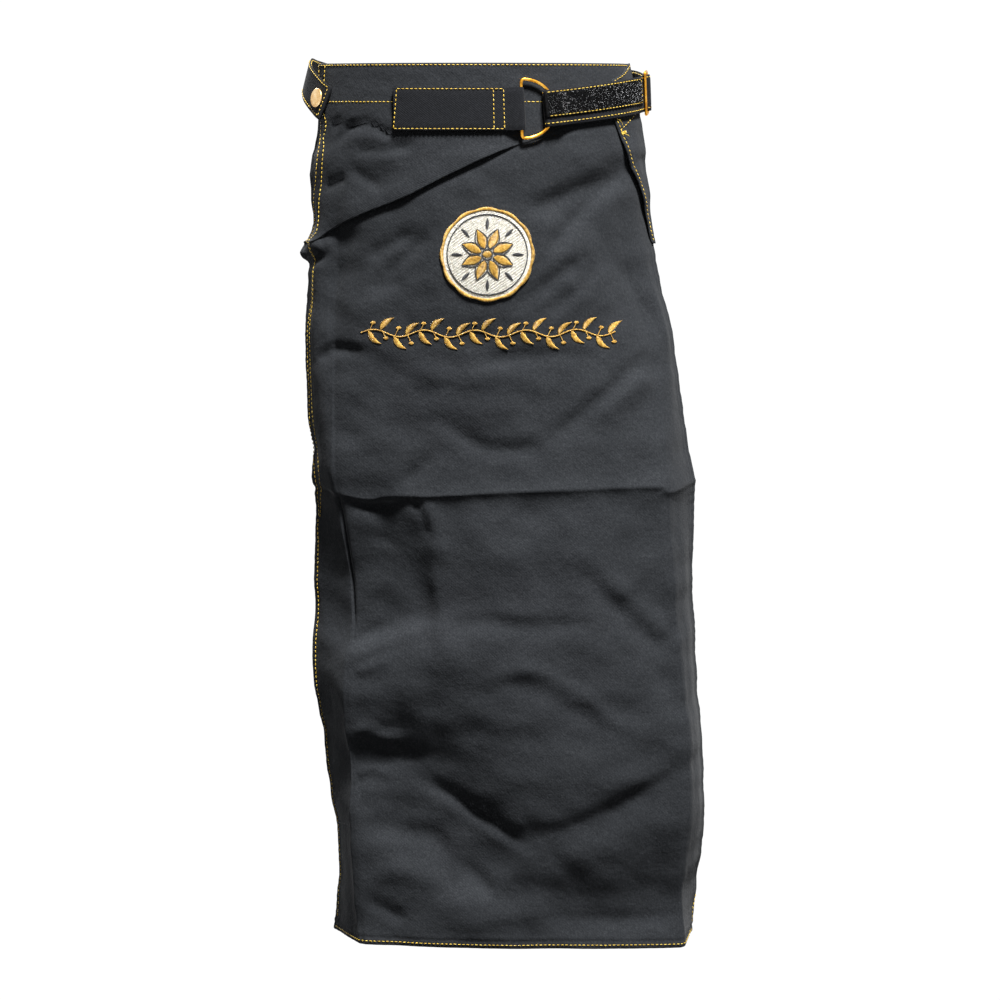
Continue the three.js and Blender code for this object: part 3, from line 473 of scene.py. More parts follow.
# Broad hanging forms, in the same terms; their sum is held to swellLimit
swellLimit = 12.0
swells = [
    (-19, 62, 30, 2, [(-160, -550), (-35, -536)]),
    (6, 46, 40, 2, [(-150, -636), (-40, -630)]),
    (16, 70, 54, 2, [(-30, -540), (24, -655), (72, -770)]),
    (14, 80, 76, 2, [(70, -780), (232, -672)]),
    (-15, 72, 34, 2, [(-132, -680), (24, -826)]),
    (-9, 62, 30, 2, [(60, -846), (214, -838)]),
    (4, 20, 28, 2, [(-30, -846), (70, -850)]),
    (4, 50, 20, 2, [(-160, -398), (-60, -402)]),
    (6, 96, 66, 2, [(-10, -562), (190, -578)]),
    (-5, 26, 24, 2, [(150, -520), (205, -575)]),
]
# Creases pressed in when the apron was folded flat: thin, and sharp
creases = [
    (4.4, 16, 7.0, 1, [(-152, -424), (-136, -426), (-106, -431), (-84, -427), (-34, -426), (39, -422),
                       (111, -420), (178, -419), (191, -425), (219, -419), (234, -419)]),
    (-3.4, 3.5, 7, 2, [(-120, -436), (-95, -437), (-72, -433)]),
    (-3.0, 4, 5, 2, [(-60, -432), (-52, -444), (-44, -470)]),
    (-2.2, 3, 5, 2, [(-170, -425), (-155, -424), (-140, -428)]),
    (-4.5, 2.6, 2.6, 1, [(-136, -432), (-132, -470), (-128, -519), (-125, -562)]),
    (1.3, 2.2, 2.2, 1, [(-129, -575), (-130, -640), (-130, -702), (-124, -805), (-119, -867),
                        (-116, -884)]),
    (0.9, 2.2, 2.2, 1, [(-142, -283), (-141, -389), (-139, -420)]),
    (1.4, 2.2, 2.2, 1, [(184, -200), (187, -331), (190, -399), (192, -428), (198, -517), (203, -592),
                        (206.5, -634), (209, -696), (210, -759), (210, -884)]),
]
badge = {"x": 12.5, "z": -187.0, "radius": 47.0, "give": 0.1}
ripple = {"height": 0.9, "waves": 26, "shortest": 26.0, "longest": 120.0, "seed": 7}


def sideOf(line, x, z):
    # Signed distance to the line, positive above where it runs right, distance past its ends, share along
    step = x[:, None] - line[None, :, 0]
    rise = z[:, None] - line[None, :, 1]
    k = np.argmin(step**2 + rise**2, axis=1)
    tangent = unit(np.gradient(line, axis=0))[k]
    row = np.arange(len(x))
    dx, dz = step[row, k], rise[row, k]
    side = tangent[:, 0] * dz - tangent[:, 1] * dx
    along = tangent[:, 0] * dx + tangent[:, 1] * dz
    past = np.where(k == 0, np.maximum(0, -along), np.where(k == len(line) - 1, np.maximum(0, along), 0))
    spacing = np.linalg.norm(np.diff(line, axis=0), axis=1).mean()
    return side, past, np.clip((k + along / spacing) / (len(line) - 1), 0, 1)


def foldHeight(x, z, rows):
    # Sum of ridges and valleys: height exp(-|side / reach|^power), faded past the ends, tapered to them
    total = np.zeros_like(x)
    for height, above, below, power, places in rows:
        line = smoothLine(places, 32)
        if line[-1, 0] < line[0, 0]:
            line = line[::-1]
        margin = 2.6 * max(above, below) * (1.6 if power == 1 else 1)
        near = (x > line[:, 0].min() - margin) & (x < line[:, 0].max() + margin)
        near &= (z > line[:, 1].min() - margin) & (z < line[:, 1].max() + margin)
        if not near.any():
            continue
        side, past, share = sideOf(line, x[near], z[near])
        reach = np.where(side > 0, above, below)
        away = np.abs(side / reach) ** power + (past / (0.6 * (above + below))) ** 2
        taper = 0.35 + 0.65 * ease(4 * np.minimum(share, 1 - share))
        total[near] += height * taper * np.exp(-away)
    return total


def rippleHeight(x, z):
    # Slow unevenness of hanging cloth: a sum of seeded plane waves of falling size
    rng = np.random.default_rng(ripple["seed"])
    total = np.zeros_like(x)
    for length in np.geomspace(ripple["longest"], ripple["shortest"], ripple["waves"]):
        heading = rng.uniform(0, math.pi)
        phase = rng.uniform(0, 2 * math.pi)
        total += (length / ripple["longest"]) ** 0.7 * np.sin(
            (x * math.cos(heading) + z * math.sin(heading)) * 2 * math.pi / length + phase
            + 1.3 * np.sin(x / 61 + phase) + 1.1 * np.cos(z / 73 + heading)
        )
    return ripple["height"] * total / 3


def widthAt(down):
    # Length of the panel's section at a share down, along the face
    rows = np.linspace(0, 1, 41)
    points = panelBase(np.linspace(0, 1, 60)[None, :], rows[:, None])
    return np.interp(down, rows, np.linalg.norm(np.diff(points, axis=1), axis=2).sum(1))


flap = {"gap": 0.6, "end": 0.205}
turnIn = {
    # mm in from the edge, heights in mm
    "puff": 0.55,
    "puffOver": 2.0,
    "flatFrom": 9.0,
    "flatOver": 7.0,
    "stitchesAt": 8.0,
    "groove": 0.6,
    "grooveReach": 1.5,
    "pucker": 0.28,
    "puckerPitch": 9.5,
    "topAt": 2.2,
    "topGroove": 0.35,
    "facingGroove": 0.45,
}


def edgePucker(u, down):
    # Turned hems: a swell between edge and stitches, a groove at them and small puckers across the band
    width = widthAt(down)
    z = down * panel["length"]
    height = 0.0
    rightOpen = np.where(down > flap["end"], 1.0, 0.0)
    sides = [(u * width, z, 1.0), ((1 - u) * width, z, rightOpen),
             ((1 - down) * panel["length"], u * width, np.ones_like(down))]
    for n, (inwards, run, share) in enumerate(sides):
        band = ease(inwards / turnIn["puffOver"])
        band = band * (1 - ease((inwards - turnIn["flatFrom"]) / turnIn["flatOver"]))
        groove = bell((inwards - turnIn["stitchesAt"]) / turnIn["grooveReach"])
        waves = np.sin(run * 2 * math.pi / turnIn["puckerPitch"] + 1.7 * np.sin(run / 23 + n))
        waves = waves * bell((inwards - 6) / 7)
        relief = turnIn["puff"] * band - turnIn["groove"] * groove + turnIn["pucker"] * waves
        height = height + share * relief
    top = bell((z - turnIn["topAt"]) / 1.3)
    facing = bell((z - panel["facing"]) / turnIn["grooveReach"]) * (u > 0.02)
    return height - turnIn["topGroove"] * top - turnIn["facingGroove"] * facing


def pullFold(x, z):
    # The tension fold, with upper = (1 - tanh(below / step)) / 2: upper times the ridge less (1 - upper)
    # times the valley, each a bell away from the line; and its overhang, -tanh(below / step) times a bell
    side, past, share = sideOf(pullLine, x, z)
    below = -side
    strength = np.interp(share, *np.array(pull["strength"]).T) * bell(past / pull["fade"])
    turn = np.tanh(below / pull["step"])
    upper = 0.5 - 0.5 * turn
    ridge = pull["ridge"] * upper * bell(np.minimum(below, 0) / pull["ridgeReach"])
    valley = pull["valley"] * (1 - upper) * bell(np.maximum(below, 0) / pull["valleyReach"])
    overhang = pull["overhang"] * -turn * bell(below / pull["overhangReach"])
    return strength * (ridge - valley), strength * overhang


underBelt = {
    # mm below the top: from where and over how much hollows and ridges come in; puckers are halved above
    "hollows": (30, 40),
    "ridges": (74, 18),
    "leastHollow": 0.25,
    "puckers": 78,
}


def panelFace(u, down, out=0.0):
    # The finished face: base + normal (height + out). The height is tension fold + folds + L tanh(swells / L)
    # + ripples, less under the badge, then + creases, less under the belt, then + hems. The overhang shifts
    # the tension fold along the cloth, upper lip down and lower lip up
    u, down = np.broadcast_arrays(np.asarray(u, float), np.asarray(down, float))
    shape = u.shape
    u, down = u.ravel(), down.ravel()
    base = panelBase(u, down)
    x, z = base[:, 0], base[:, 2]
    main, shift = pullFold(x, z)
    broad = swellLimit * np.tanh(foldHeight(x, z, swells) / swellLimit)
    height = main + foldGain * foldHeight(x, z, folds) + broad + rippleHeight(x, z)
    fromBadge = np.hypot(x - badge["x"], z - badge["z"]) / badge["radius"]
    height = height * (badge["give"] + (1 - badge["give"]) * ease((fromBadge - 1) / 0.5))
    height = height + foldHeight(x, z, creases)
    hollows, ridges = (ease((-z - start) / over) for start, over in map(underBelt.get, ("hollows", "ridges")))
    height = np.where(height < 0, height * np.maximum(hollows, underBelt["leastHollow"]), height * ridges)
    height = height + edgePucker(u, down) * np.where(-z < underBelt["puckers"], 0.5, 1.0)
    _, downwards = stepsOn(panelBase, u, down, 0.002)
    point = base + baseNormal(u, down) * (height + np.asarray(out))[:, None]
    return (point + unit(downwards) * (shift * ridges)[:, None]).reshape(shape + (3,))


def onCloth(u, down, out=0.15, past=0.0):
    # Place out of the finished face at u and down, and the face's normal there
    u, down = np.broadcast_arrays(np.asarray(u, float), np.asarray(down, float))
    across, downwards = stepsOn(panelFace, u, down, 0.0015, past)
    normal = unit(np.cross(downwards, across))
    return panelFace(u, down) + normal * np.asarray(out)[..., None], normal


def shareBetween(x, down, low, halvings):
    # By halving: the two shares across between which the base has that x
    low, high = np.full_like(down, low), np.ones_like(down)
    for _ in range(halvings):
        middle = (low + high) / 2
        left = panelBase(middle, down)[..., 0] < x
        low, high = np.where(left, middle, low), np.where(left, high, middle)
    return low, high


def facePoint(x, z, out):
    # Place and normal on the front by x and z
    x, z = np.broadcast_arrays(np.asarray(x, float), np.asarray(z, float))
    down = -z / panel["length"]
    low, high = shareBetween(x, down, 0.0, 18)
    return onCloth((low + high) / 2, down, out, past=0.0015)


# The panel

pieces = {}
gridLines = {
    # Shares down of the tension fold's row and the pressed crease's row, and shares close to the edges
    "fold": 0.14,
    "crease": 0.487,
    "edge": (0.0008, 0.0019, 0.0034),
}


def panelGrid():
    # Columns close in on the hanging creases and the edges, rows on the tension fold and the pressed crease
    fold, crease, edge = gridLines["fold"], gridLines["crease"], np.array(gridLines["edge"])
    inner = spread(panel["columns"] - 6, [0.0, corners[1], corners[2], 1.0], 2.2, 0.03)
    u = np.unique(np.concatenate([inner, edge, 1 - edge]))
    foldDown = np.full_like(u, fold)
    for _ in range(3):
        foldDown = np.interp(panelBase(u, foldDown)[:, 0], pullLine[:, 0], -pullLine[:, 1]) / panel["length"]
    v = spread(panel["rows"] - 6, [fold, fold + 0.004, crease, 1.0], 3.4, 0.013)
    v = np.unique(np.concatenate([v, edge * 0.5, 1 - edge * 0.5]))[:, None]
    above = v / fold * foldDown
    middle = foldDown + (v - fold) / (crease - fold) * (crease - foldDown)
    down = np.where(v < fold, above, np.where(v < crease, middle, v))
    return np.broadcast_to(u, down.shape), down


def clothMesh(name, front, back, uv):
    # A closed wall of twill between two grids of points
    points = np.concatenate([front.reshape(-1, 3), back.reshape(-1, 3)])
    faces = outward(points, wallFaces(*front.shape[:2]))
    uv = uv.reshape(-1, 2) * mm
    return addMesh(name, points, faces, twill, uv=np.concatenate([uv, uv]))


def makePanel():
    # A closed wall: the face and its grid set back by the wall, thicker at hems and facing, edges rounded
    u, down = panelGrid()
    width = widthAt(down)
    rightOpen = down > flap["end"]
    toSide = np.minimum(u, np.where(rightOpen, 1 - u, 1)) * width
    toFoot, toTop = (1 - down) * panel["length"], down * panel["length"]
    turned = 0.0
    for inwards, band in ((toSide, panel["hem"]), (toFoot, panel["hem"]), (toTop, panel["facing"])):
        turned = np.maximum(turned, 1 - ease((inwards - band) / 1.5))
    wall = panel["wall"] + panel["hemExtra"] * turned
    nearEdge = clamp(np.minimum(np.minimum(toSide, toFoot), toTop) / panel["edgeRound"])
    roll = (1 - np.sqrt(1 - (1 - nearEdge) ** 2)) * 0.42
    front = panelFace(u, down, (-roll * wall).ravel())
    normal = unit(np.cross(np.gradient(front, axis=0), np.gradient(front, axis=1)))
    normal = unit(normal + 1.2 * baseNormal(u, down))
    back = front - normal * (wall * (1 - 2 * roll))[..., None]
    return clothMesh("apron_cloth", front, back, np.stack([(u - 0.5) * width, -toTop], -1))


pieces["panel"] = makePanel()
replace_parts(pieces["panel"], "apron_panel")
print("panel made", len(pieces["panel"].data.polygons), "faces")

# Strips, wires and threads

bandStep = 1.2  # mm along a strip between its sections


def bandGrid(path, up, width, wall, groovesAt=(), groove=0.28, puff=0.12, lift=0.0, out=0.0):
    # A flat strip along a path: every section is a slot with round edges, pinched at its rows of stitches.
    # Half its thickness at w is wall/2 sqrt(1 - |w|^10) - grooves + puff (1 - w^2)
    ahead = unit(np.gradient(path, axis=0))
    up = unit(up - (up * ahead).sum(-1)[:, None] * ahead)
    normal = np.cross(ahead, up)
    w = np.sin(np.linspace(math.pi / 2, -math.pi / 2, 19))
    half = wall / 2 * np.sqrt(1 - np.abs(w) ** 10) + puff * (1 - w**2) - puff
    for place in groovesAt:
        half = half - groove * bell((w * width / 2 - place) / 0.9)
    half[[0, -1]] = 0
    across = np.concatenate([w, w[-2:0:-1]]) * width / 2 + lift
    level = np.concatenate([half, -half[-2:0:-1]]) + out
    grid = path[:, None] + up[:, None] * across[None, :, None] + normal[:, None] * level[None, :, None]
    return grid, normal, up


def closedTube(grid, closeRows=False):
    # Faces of a tube of sections, with a cap at each end unless its rows close on themselves
    rows, columns = grid.shape[:2]
    points = grid.reshape(-1, 3)
    lists = [gridFaces(rows, columns, closeRows=closeRows, closeColumns=True)]
    inverted = insideOut(points, lists[0])
    if not closeRows:
        lists += [np.arange(columns)[None, :], (np.arange(columns)[::-1] + (rows - 1) * columns)[None, :]]
    return points, [faces[:, ::-1] for faces in lists] if inverted else lists


def bandMesh(name, grid, material):
    # The strip's mesh, its weave laid out along it and 80 mm round it
    points, faces = closedTube(grid)
    rows, columns = grid.shape[:2]
    around = np.linspace(0, 80, columns)
    uv = np.stack(np.broadcast_arrays(np.arange(rows)[:, None] * bandStep, around), -1).reshape(-1, 2)
    return addMesh(name, points, faces, material, uv=uv * mm)


def wireGrid(path, planeNormal, radius, sides=14, closed=True):
    # A round wire along a flat path: radius (cos a side + sin a planeNormal) at every step
    if closed:
        ahead = unit(np.roll(path, -1, axis=0) - np.roll(path, 1, axis=0))
    else:
        ahead = unit(np.gradient(path, axis=0))
    side = np.cross(ahead, planeNormal)
    turn = np.arange(sides) * 2 * math.pi / sides
    ring = side[:, None] * np.cos(turn)[None, :, None] + planeNormal * np.sin(turn)[None, :, None]
    return path[:, None] + radius * ring


def spindles(start, end, up, width, height, arch=0.0, rings=3, sides=5):
    # Threads, each a closed spindle from start to end: an ellipse on a low arch, start + t (end - start) +
    # up arch (1 - (2t - 1)^2), drawn in to a point at both ends
    count = len(start)
    t = np.linspace(0, 1, rings + 2)[1:-1]
    centre = start[:, None] + (end - start)[:, None] * t[None, :, None]
    centre = centre + up[:, None] * (arch * (1 - (2 * t - 1) ** 2))[None, :, None]
    ahead = unit(end - start)
    across = unit(np.cross(ahead, up))
    lift = np.cross(across, ahead)
    swell = np.sqrt(1 - np.abs(2 * t - 1) ** 3)[None, :, None, None]
    turn = np.arange(sides) * 2 * math.pi / sides
    ring = across[:, None, None] * np.cos(turn)[None, None, :, None] * width / 2
    ring = ring + lift[:, None, None] * np.sin(turn)[None, None, :, None] * height / 2
    rims = (centre[:, :, None] + ring * swell).reshape(count, -1, 3)
    points = np.concatenate([rims, start[:, None], end[:, None]], axis=1)
    size = rings * sides + 2
    quads = gridFaces(rings, sides, closeColumns=True) if rings > 1 else np.zeros((0, 4), int)
    n = np.arange(sides)
    following, lastRing = (n + 1) % sides, size - 2 - sides
    first = np.stack([np.full(sides, size - 2), n, following], -1)
    last = np.stack([np.full(sides, size - 1), following + lastRing, n + lastRing], -1)
    triangles = np.concatenate([quads[:, [0, 1, 2]], quads[:, [0, 2, 3]], first, last])
    triangles = outward(points[0] - points[0].mean(0), triangles)
    faces = (np.arange(count)[:, None, None] * size + triangles[None]).reshape(-1, 3)
    return points.reshape(-1, 3), faces


def joined(parts):
    # Several (points, faces) in one list of points and faces
    offset, allPoints, allFaces = 0, [], []
    for points, faces in parts:
        allPoints.append(points)
        allFaces.append(faces + offset)
        offset += len(points)
    return np.concatenate(allPoints), np.concatenate(allFaces)


stitch = {"pitch": 4.4, "length": 3.7, "width": 1.05, "height": 0.8, "sink": 0.12}


def stitchRow(points, normals):
    # A row of stitches along a path: a whole number of even steps near the pitch, each a thread on the cloth
    total = lengthsAlong(points)[-1]
    pitch = total / max(1, round(total / stitch["pitch"]))
    steps = alongLine(np.concatenate([points, normals], axis=1), pitch / 4)[::4]
    start, end = steps[:-1, :3], steps[1:, :3]
    end = start + (end - start) * stitch["length"] / stitch["pitch"]
    normal = unit(steps[:-1, 3:] + steps[1:, 3:])
    sunk = normal * stitch["sink"]
    return spindles(start - sunk, end - sunk, normal, stitch["width"], stitch["height"], arch=0.35)


# The dog-ear: the panel's right margin folded forward at the top, from the belt down to a tip

flap.update({
    # its free edge on the panel as (x, z), and how far its top slopes down from the fold to that edge
    "edge": [(134, -10), (136, -40), (137, -55), (139.5, -61), (144.5, -75), (150.5, -92), (155, -106),
             (161.5, -126), (167, -147), (171.5, -162), (176.5, -177), (178, -182)],
    "topSlope": 17.0,
    "stand": 3.2,
    "hemInset": 4.2,
    "facingFrom": 0.24,
    "facingTo": 0.31,
    "tackAt": 0.32,
    "bendSteps": 8,
    "lapSteps": 26,
    "rows": 90,
    "around": 400.0,  # mm for a whole share across
})


def flapMiddle(p, v):
    # Middle of its cloth and its outer normal: p runs 0 to 1 round the bend and 1 to 2 over the panel, v down
    edge = smoothLine(flap["edge"], 60)
    top = flap["topSlope"] * clamp(p - 1) / panel["length"]
    down = top + (flap["end"] - 0.002 - top) * v
    z = -down * panel["length"]
    low, _ = shareBetween(np.interp(-z, -edge[:, 1], edge[:, 0]), down, 0.7, 16)
    width = np.maximum(0.004, 1 - low)
    stand = flap["stand"] * ease((-z - 62) / 40) * ease((flap["end"] * panel["length"] + z) / 45)
    gap = flap["gap"] + 0.5 * stand
    radius = (gap + panel["wall"]) / 2
    root = panelFace(np.ones_like(down), down)
    out = baseNormal(np.ones_like(down), down)
    side = unit(panelBase(1.0, down) - panelBase(0.98, down))
    turn = (clamp(p) - 0.5) * math.pi
    ring = side * np.cos(turn)[..., None] + out * np.sin(turn)[..., None]
    bent = root + out * (gap / 2)[..., None] + ring * radius[..., None]
    u = 1 - clamp(p - 1) * width
    normal = baseNormal(u, down)
    wave = 0.35 * np.sin(v * 37 + 3 * p) * ease((-z - 70) / 20)
    over = gap + panel["wall"] / 2 + stand * 0.5 * ease(p - 1) + wave
    laid = panelFace(u, down) + normal * over[..., None]
    onPanel = (p > 1)[..., None]
    return np.where(onPanel, laid, bent), np.where(onPanel, normal, ring), width


def makeFlap():
    # Its middle with half a wall to both sides, thicker outside along the turned hem and thin at the edge
    bend, lap = np.linspace(0, 1, flap["bendSteps"] + 1), 1 + np.linspace(0.03, 1, flap["lapSteps"])
    p, v = np.meshgrid(np.concatenate([bend, lap]), np.linspace(0, 1, flap["rows"]))
    middle, normal, width = flapMiddle(p, v)
    fromEdge = (2 - p) * width * flap["around"]
    hem = 1 + 0.55 * (1 - ease((fromEdge - 9) / 2)) * (p > 1)
    thin = np.where(fromEdge < 0.8, 0.5, 1.0)
    half = panel["wall"] / 2 * hem * thin * np.where(p == 0, 0.6, 1.0)
    front, back = middle + normal * half[..., None], middle - normal * (panel["wall"] / 2 * thin)[..., None]
    return clothMesh("dog_ear", front, back, np.stack([p * 34, -v * 190], -1))


pieces["flap"] = makeFlap()
print("dog-ear made")


# The belt: lengths along the oval from the centre front, at the height of the D-ring's middle

belt = {
    "drop": 45.0,
    "clearance": 0.3,
    "bendSlack": 0.42,
    "wire": 1.6,
    "ringHeight": 61.0,
    "ringDepth": 36.2,
    "barPlace": 45.6,
    "tabWidth": 42.0,
    "tabStart": -80.0,
    "tabWall": 1.6,
    "tabOpen": 17.0,
    "tabSkew": -0.06,
}
strap = {
    "width": 36.0,
    "wall": 2.2,
    "over": 0.9,
    "return": 62.0,
    "tilt": 0.1,
    "endAngle": -57.5,
    "endHeight": -0.9,
    "buttonAngle": -63.5,
    "buttonHeight": -0.77,
    "slideAngle": 77.0,
    "slideLean": -0.15,
    "slideHeight": -0.67,
    "slidePitch": 9.0,
    "slideInside": 39.0,
    "slideRadius": 1.5,
    "slideFall": 3.2,
    "leanFrom": 225.0,
    "leanTo": 282.0,
    "lean": 0.13,
    "stitchesAt": (-14.6, 15.8),
}
tape = {
    "width": 25.0,
    "wall": 1.3,
    "lift": 4.0,  # above the strap's middle
    "hookZone": 10.6,
    "edgeStitches": 11.6,
    # how many hooks, their thickness, how far they bend sideways and how far they stand at least
    "hooks": (5200, 0.42, 0.8, 0.5),
    # the glints are pale hooks: painted highlights on the black hooks' tips
    "glints": (640, 0.4, 0.3, 1.1),
}

ovalAngles = np.linspace(-math.pi, math.pi, 2881)
ovalLengths = lengthsAlong(waistPoint(ovalAngles, -belt["drop"])[0])
ovalLengths -= np.interp(0, ovalAngles, ovalLengths)

outBehind = belt["clearance"] + strap["wall"] / 2
outFront = outBehind + strap["wall"] + belt["clearance"]
outOverWire = outBehind + strap["wall"] + 2 * (belt["clearance"] + belt["bendSlack"] + belt["wire"])
outWire = (outBehind + outOverWire) / 2
outBar = 2 * belt["clearance"] + belt["bendSlack"] + belt["tabWall"] + belt["wire"]
ringHalf = belt["ringHeight"] / 2 - belt["wire"]
ringReach = belt["ringDepth"] - 2 * belt["wire"]
foldRadius = (outOverWire - outBehind) / 2
ringAtStrap = ringReach * math.sqrt(1 - (strap["width"] / 2 / ringHalf) ** 2)  # its reach at the strap's edge
foldPlace = belt["barPlace"] + ringAtStrap + strap["tilt"]


def angleAt(length):
    # Angle on the oval at a length from the centre front
    return np.interp(length, ovalLengths, ovalAngles)


sideLength = float(np.interp(strap["slideAngle"] * degree, ovalAngles, ovalLengths))
strapSlope = (strap["slideHeight"] + 1) / (sideLength - foldPlace)
slideStep = 2 * (strap["slideRadius"] + belt["clearance"] + belt["bendSlack"] + strap["wall"] / 2)
# The strap's weave through the slide: along in its pitch, share of the rise over its middle bar
slideWay = [(-1.45, 0), (-1.1, 0), (-0.8, 0.03), (-0.68, 0.12), (-0.5, 0.5), (-0.32, 0.88), (-0.2, 0.97),
            (0, 1), (0.2, 0.97), (0.32, 0.88), (0.5, 0.5), (0.68, 0.04), (0.8, -0.07), (1.1, -0.13),
            (1.45, -0.1)]
# Beyond the slide: angle on the oval, height in belt drops, distance out
backWay = [(92, -0.61, 0.8), (106, -0.54, 1.4), (123, -0.47, 1.6), (140, -0.42, 1.6), (160, -0.39, 1.6),
           (180, -0.4, 1.6), (200, -0.42, 1.6), (220, -0.43, 1.6), (240, -0.4, 1.7), (256, -0.31, 2.0),
           (270, -0.27, 2.2), (282, -0.46, 2.2)]


def strapHeight(length):
    # A straight line from the belt's drop at the D-ring up to the slide
    return belt["drop"] * (-1 + strapSlope * (length - foldPlace))


def strapStations():
    # Rows of angle, height, distance out and lean: behind the front from its end to the ring, round the wire,
    # along the front, through the slide, round the back and onto the button
    rows = [(foldPlace + strap["return"] * share, outBehind) for share in (1, 0.75, 0.5, 0.25, 0.08)]
    for turn in np.linspace(0, math.pi, 9):
        rows.append((foldPlace - foldRadius * math.sin(turn), outWire - foldRadius * math.cos(turn)))
    tapeFrom = len(rows) - 3
    for past, rise in ((6, 1), (11, 1), (18, 0.35), (26, 0)):
        rows.append((foldPlace + past, outFront + (outOverWire - outFront) * rise))
    plainFrom = foldPlace + 26
    plain = sideLength - 2 * strap["slidePitch"] - plainFrom
    rows += [(plainFrom + plain * share, outFront) for share in (0.2, 0.4, 0.6, 0.8, 1)]
    tapeTo = len(rows)
    for along, share in slideWay:
        fall = strap["slideFall"] * min(1, (1 + along) / 2) if along > -1 else 0
        rows.append((sideLength + along * strap["slidePitch"], outFront + share * slideStep - fall))
    length, out = np.array(rows).T
    # the slide's lean comes in over 22 mm before it and goes again in 16 degrees behind it
    upright = strap["slideLean"] * ease((length - sideLength + 34) / 22)
    onBelt = np.stack([angleAt(length), strapHeight(length), out, upright], -1)
    back = np.array(backWay)
    lean = clamp((back[:, 0] - strap["leanFrom"]) / (strap["leanTo"] - strap["leanFrom"]))
    tipped = strap["lean"] * np.sin(lean * math.pi) + strap["slideLean"] * ease((100 - back[:, 0]) / 16)
    behind = np.stack([back[:, 0] * degree, back[:, 1] * belt["drop"], back[:, 2], tipped], -1)
    onButton = strap["over"] + strap["wall"] / 2
    ends = np.array([
        [(360 + strap["buttonAngle"]) * degree, strap["buttonHeight"] * belt["drop"], onButton, 0],
        [(360 + strap["endAngle"]) * degree, strap["endHeight"] * belt["drop"], onButton, 0],
    ])
    return np.concatenate([onBelt, behind, ends]), tapeFrom, tapeTo


def stationPath(stations):
    # Places and upward directions of stations, up leaning by its share of the normal
    place, normal = waistPoint(stations[:, 0], stations[:, 1], stations[:, 2])
    above, _ = waistPoint(stations[:, 0], stations[:, 1] + 1)
    below, _ = waistPoint(stations[:, 0], stations[:, 1])
    return place, unit(above - below) - normal * stations[:, 3:4]


def resampled(place, up):
    # A smooth line through the places at even steps, with the upward directions between them
    fine = smoothLine(np.concatenate([place, up], axis=1), (len(place) - 1) * 12 + 1)
    even = alongLine(fine, bandStep)
    return even[:, :3], even[:, 3:]


def sewn(name, rows):
    # One piece of mustard thread from several rows of stitches
    points, faces = joined(rows)
    return addMesh(name, points, faces, mustardThread)


def repeated(vector, count):
    # The same vector in every row
    return np.repeat(vector[None], count, 0)


def makeStrap():
    # The strap with rows of stitches along both its edges and across its ends, in front and behind
    stations, tapeFrom, tapeTo = strapStations()
    place, up = stationPath(stations)
    path, ups = resampled(place, up)
    grid, normal, upright = bandGrid(path, ups, strap["width"], strap["wall"], strap["stitchesAt"])
    piece = bandMesh("strap_cloth", grid, webbing)
    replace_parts(piece, "waist_strap")
    level = strap["wall"] / 2 - 0.1
    rows = []
    for side in (1, -1):
        for at in strap["stitchesAt"]:
            line = path + upright * at + normal * side * level
            rows.append(stitchRow(line[3:-3], (normal * side)[3:-3]))
    for index in (4, len(path) - 5):
        across = np.linspace(-15, 15, 20)[:, None]
        for side in (1, -1):
            line = path[index] + upright[index] * across + normal[index] * side * level
            rows.append(stitchRow(line, repeated(normal[index] * side, 20)))
    thread = sewn("strap_stitches", rows)
    return place[tapeFrom : tapeTo + 1], up[tapeFrom : tapeTo + 1]


tapePlace, tapeUp = makeStrap()
print("strap made")


def makeTape():
    # Hook tape: a strip on the strap's face, with bent hooks standing on it at seeded random places; a second
    # set of pale hooks among them are painted glints, a painted highlight where the black hooks catch the
    # light
    path, ups = resampled(tapePlace, tapeUp)
    out = strap["wall"] / 2 + belt["clearance"] + tape["wall"] / 2
    grid, normal, up = bandGrid(path, ups, tape["width"], tape["wall"], (-11.3, 11.3), groove=0.3, puff=0.0,
                                lift=tape["lift"], out=out)
    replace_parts(bandMesh("tape_strip", grid, hookNylon), "hook_tape")
    rng = np.random.default_rng(11)
    # the second set is pale: painted glints on the black hooks
    for name, material in (("hooks", hookNylon), ("glints", paintedGlintHooks)):
        count, thickness, bend, stand = tape[name]
        at = rng.uniform(2, len(path) - 3, count)
        across = rng.uniform(-tape["hookZone"], tape["hookZone"], count)
        k = at.astype(int)
        part = (at - k)[:, None]
        centre = path[k] * (1 - part) + path[k + 1] * part
        root = centre + up[k] * (across + tape["lift"])[:, None] + normal[k] * (out + tape["wall"] / 2 - 0.1)
        lean = rng.uniform(-bend, bend, (count, 3))
        tips = root + normal[k] * rng.uniform(stand, stand + 0.7, count)[:, None] + lean
        along = unit(np.cross(normal[k], up[k]))
        points, faces = spindles(root, tips, along, thickness, thickness, rings=1, sides=4)
        addMesh("tape_" + name, points, faces, material)
    level, reach = out + tape["wall"] / 2 - 0.15, tape["edgeStitches"]
    rows = []
    for side in (-reach, reach):
        line = path + up * (tape["lift"] + side) + normal * level
        rows.append(stitchRow(line[2:-2], normal[2:-2]))
    endLine = path[-3] + up[-3] * (tape["lift"] + np.linspace(-reach, reach, 16))[:, None]
    rows.append(stitchRow(endLine + normal[-3] * level, repeated(normal[-3], 16)))
    sewn("tape_stitches", rows)


makeTape()


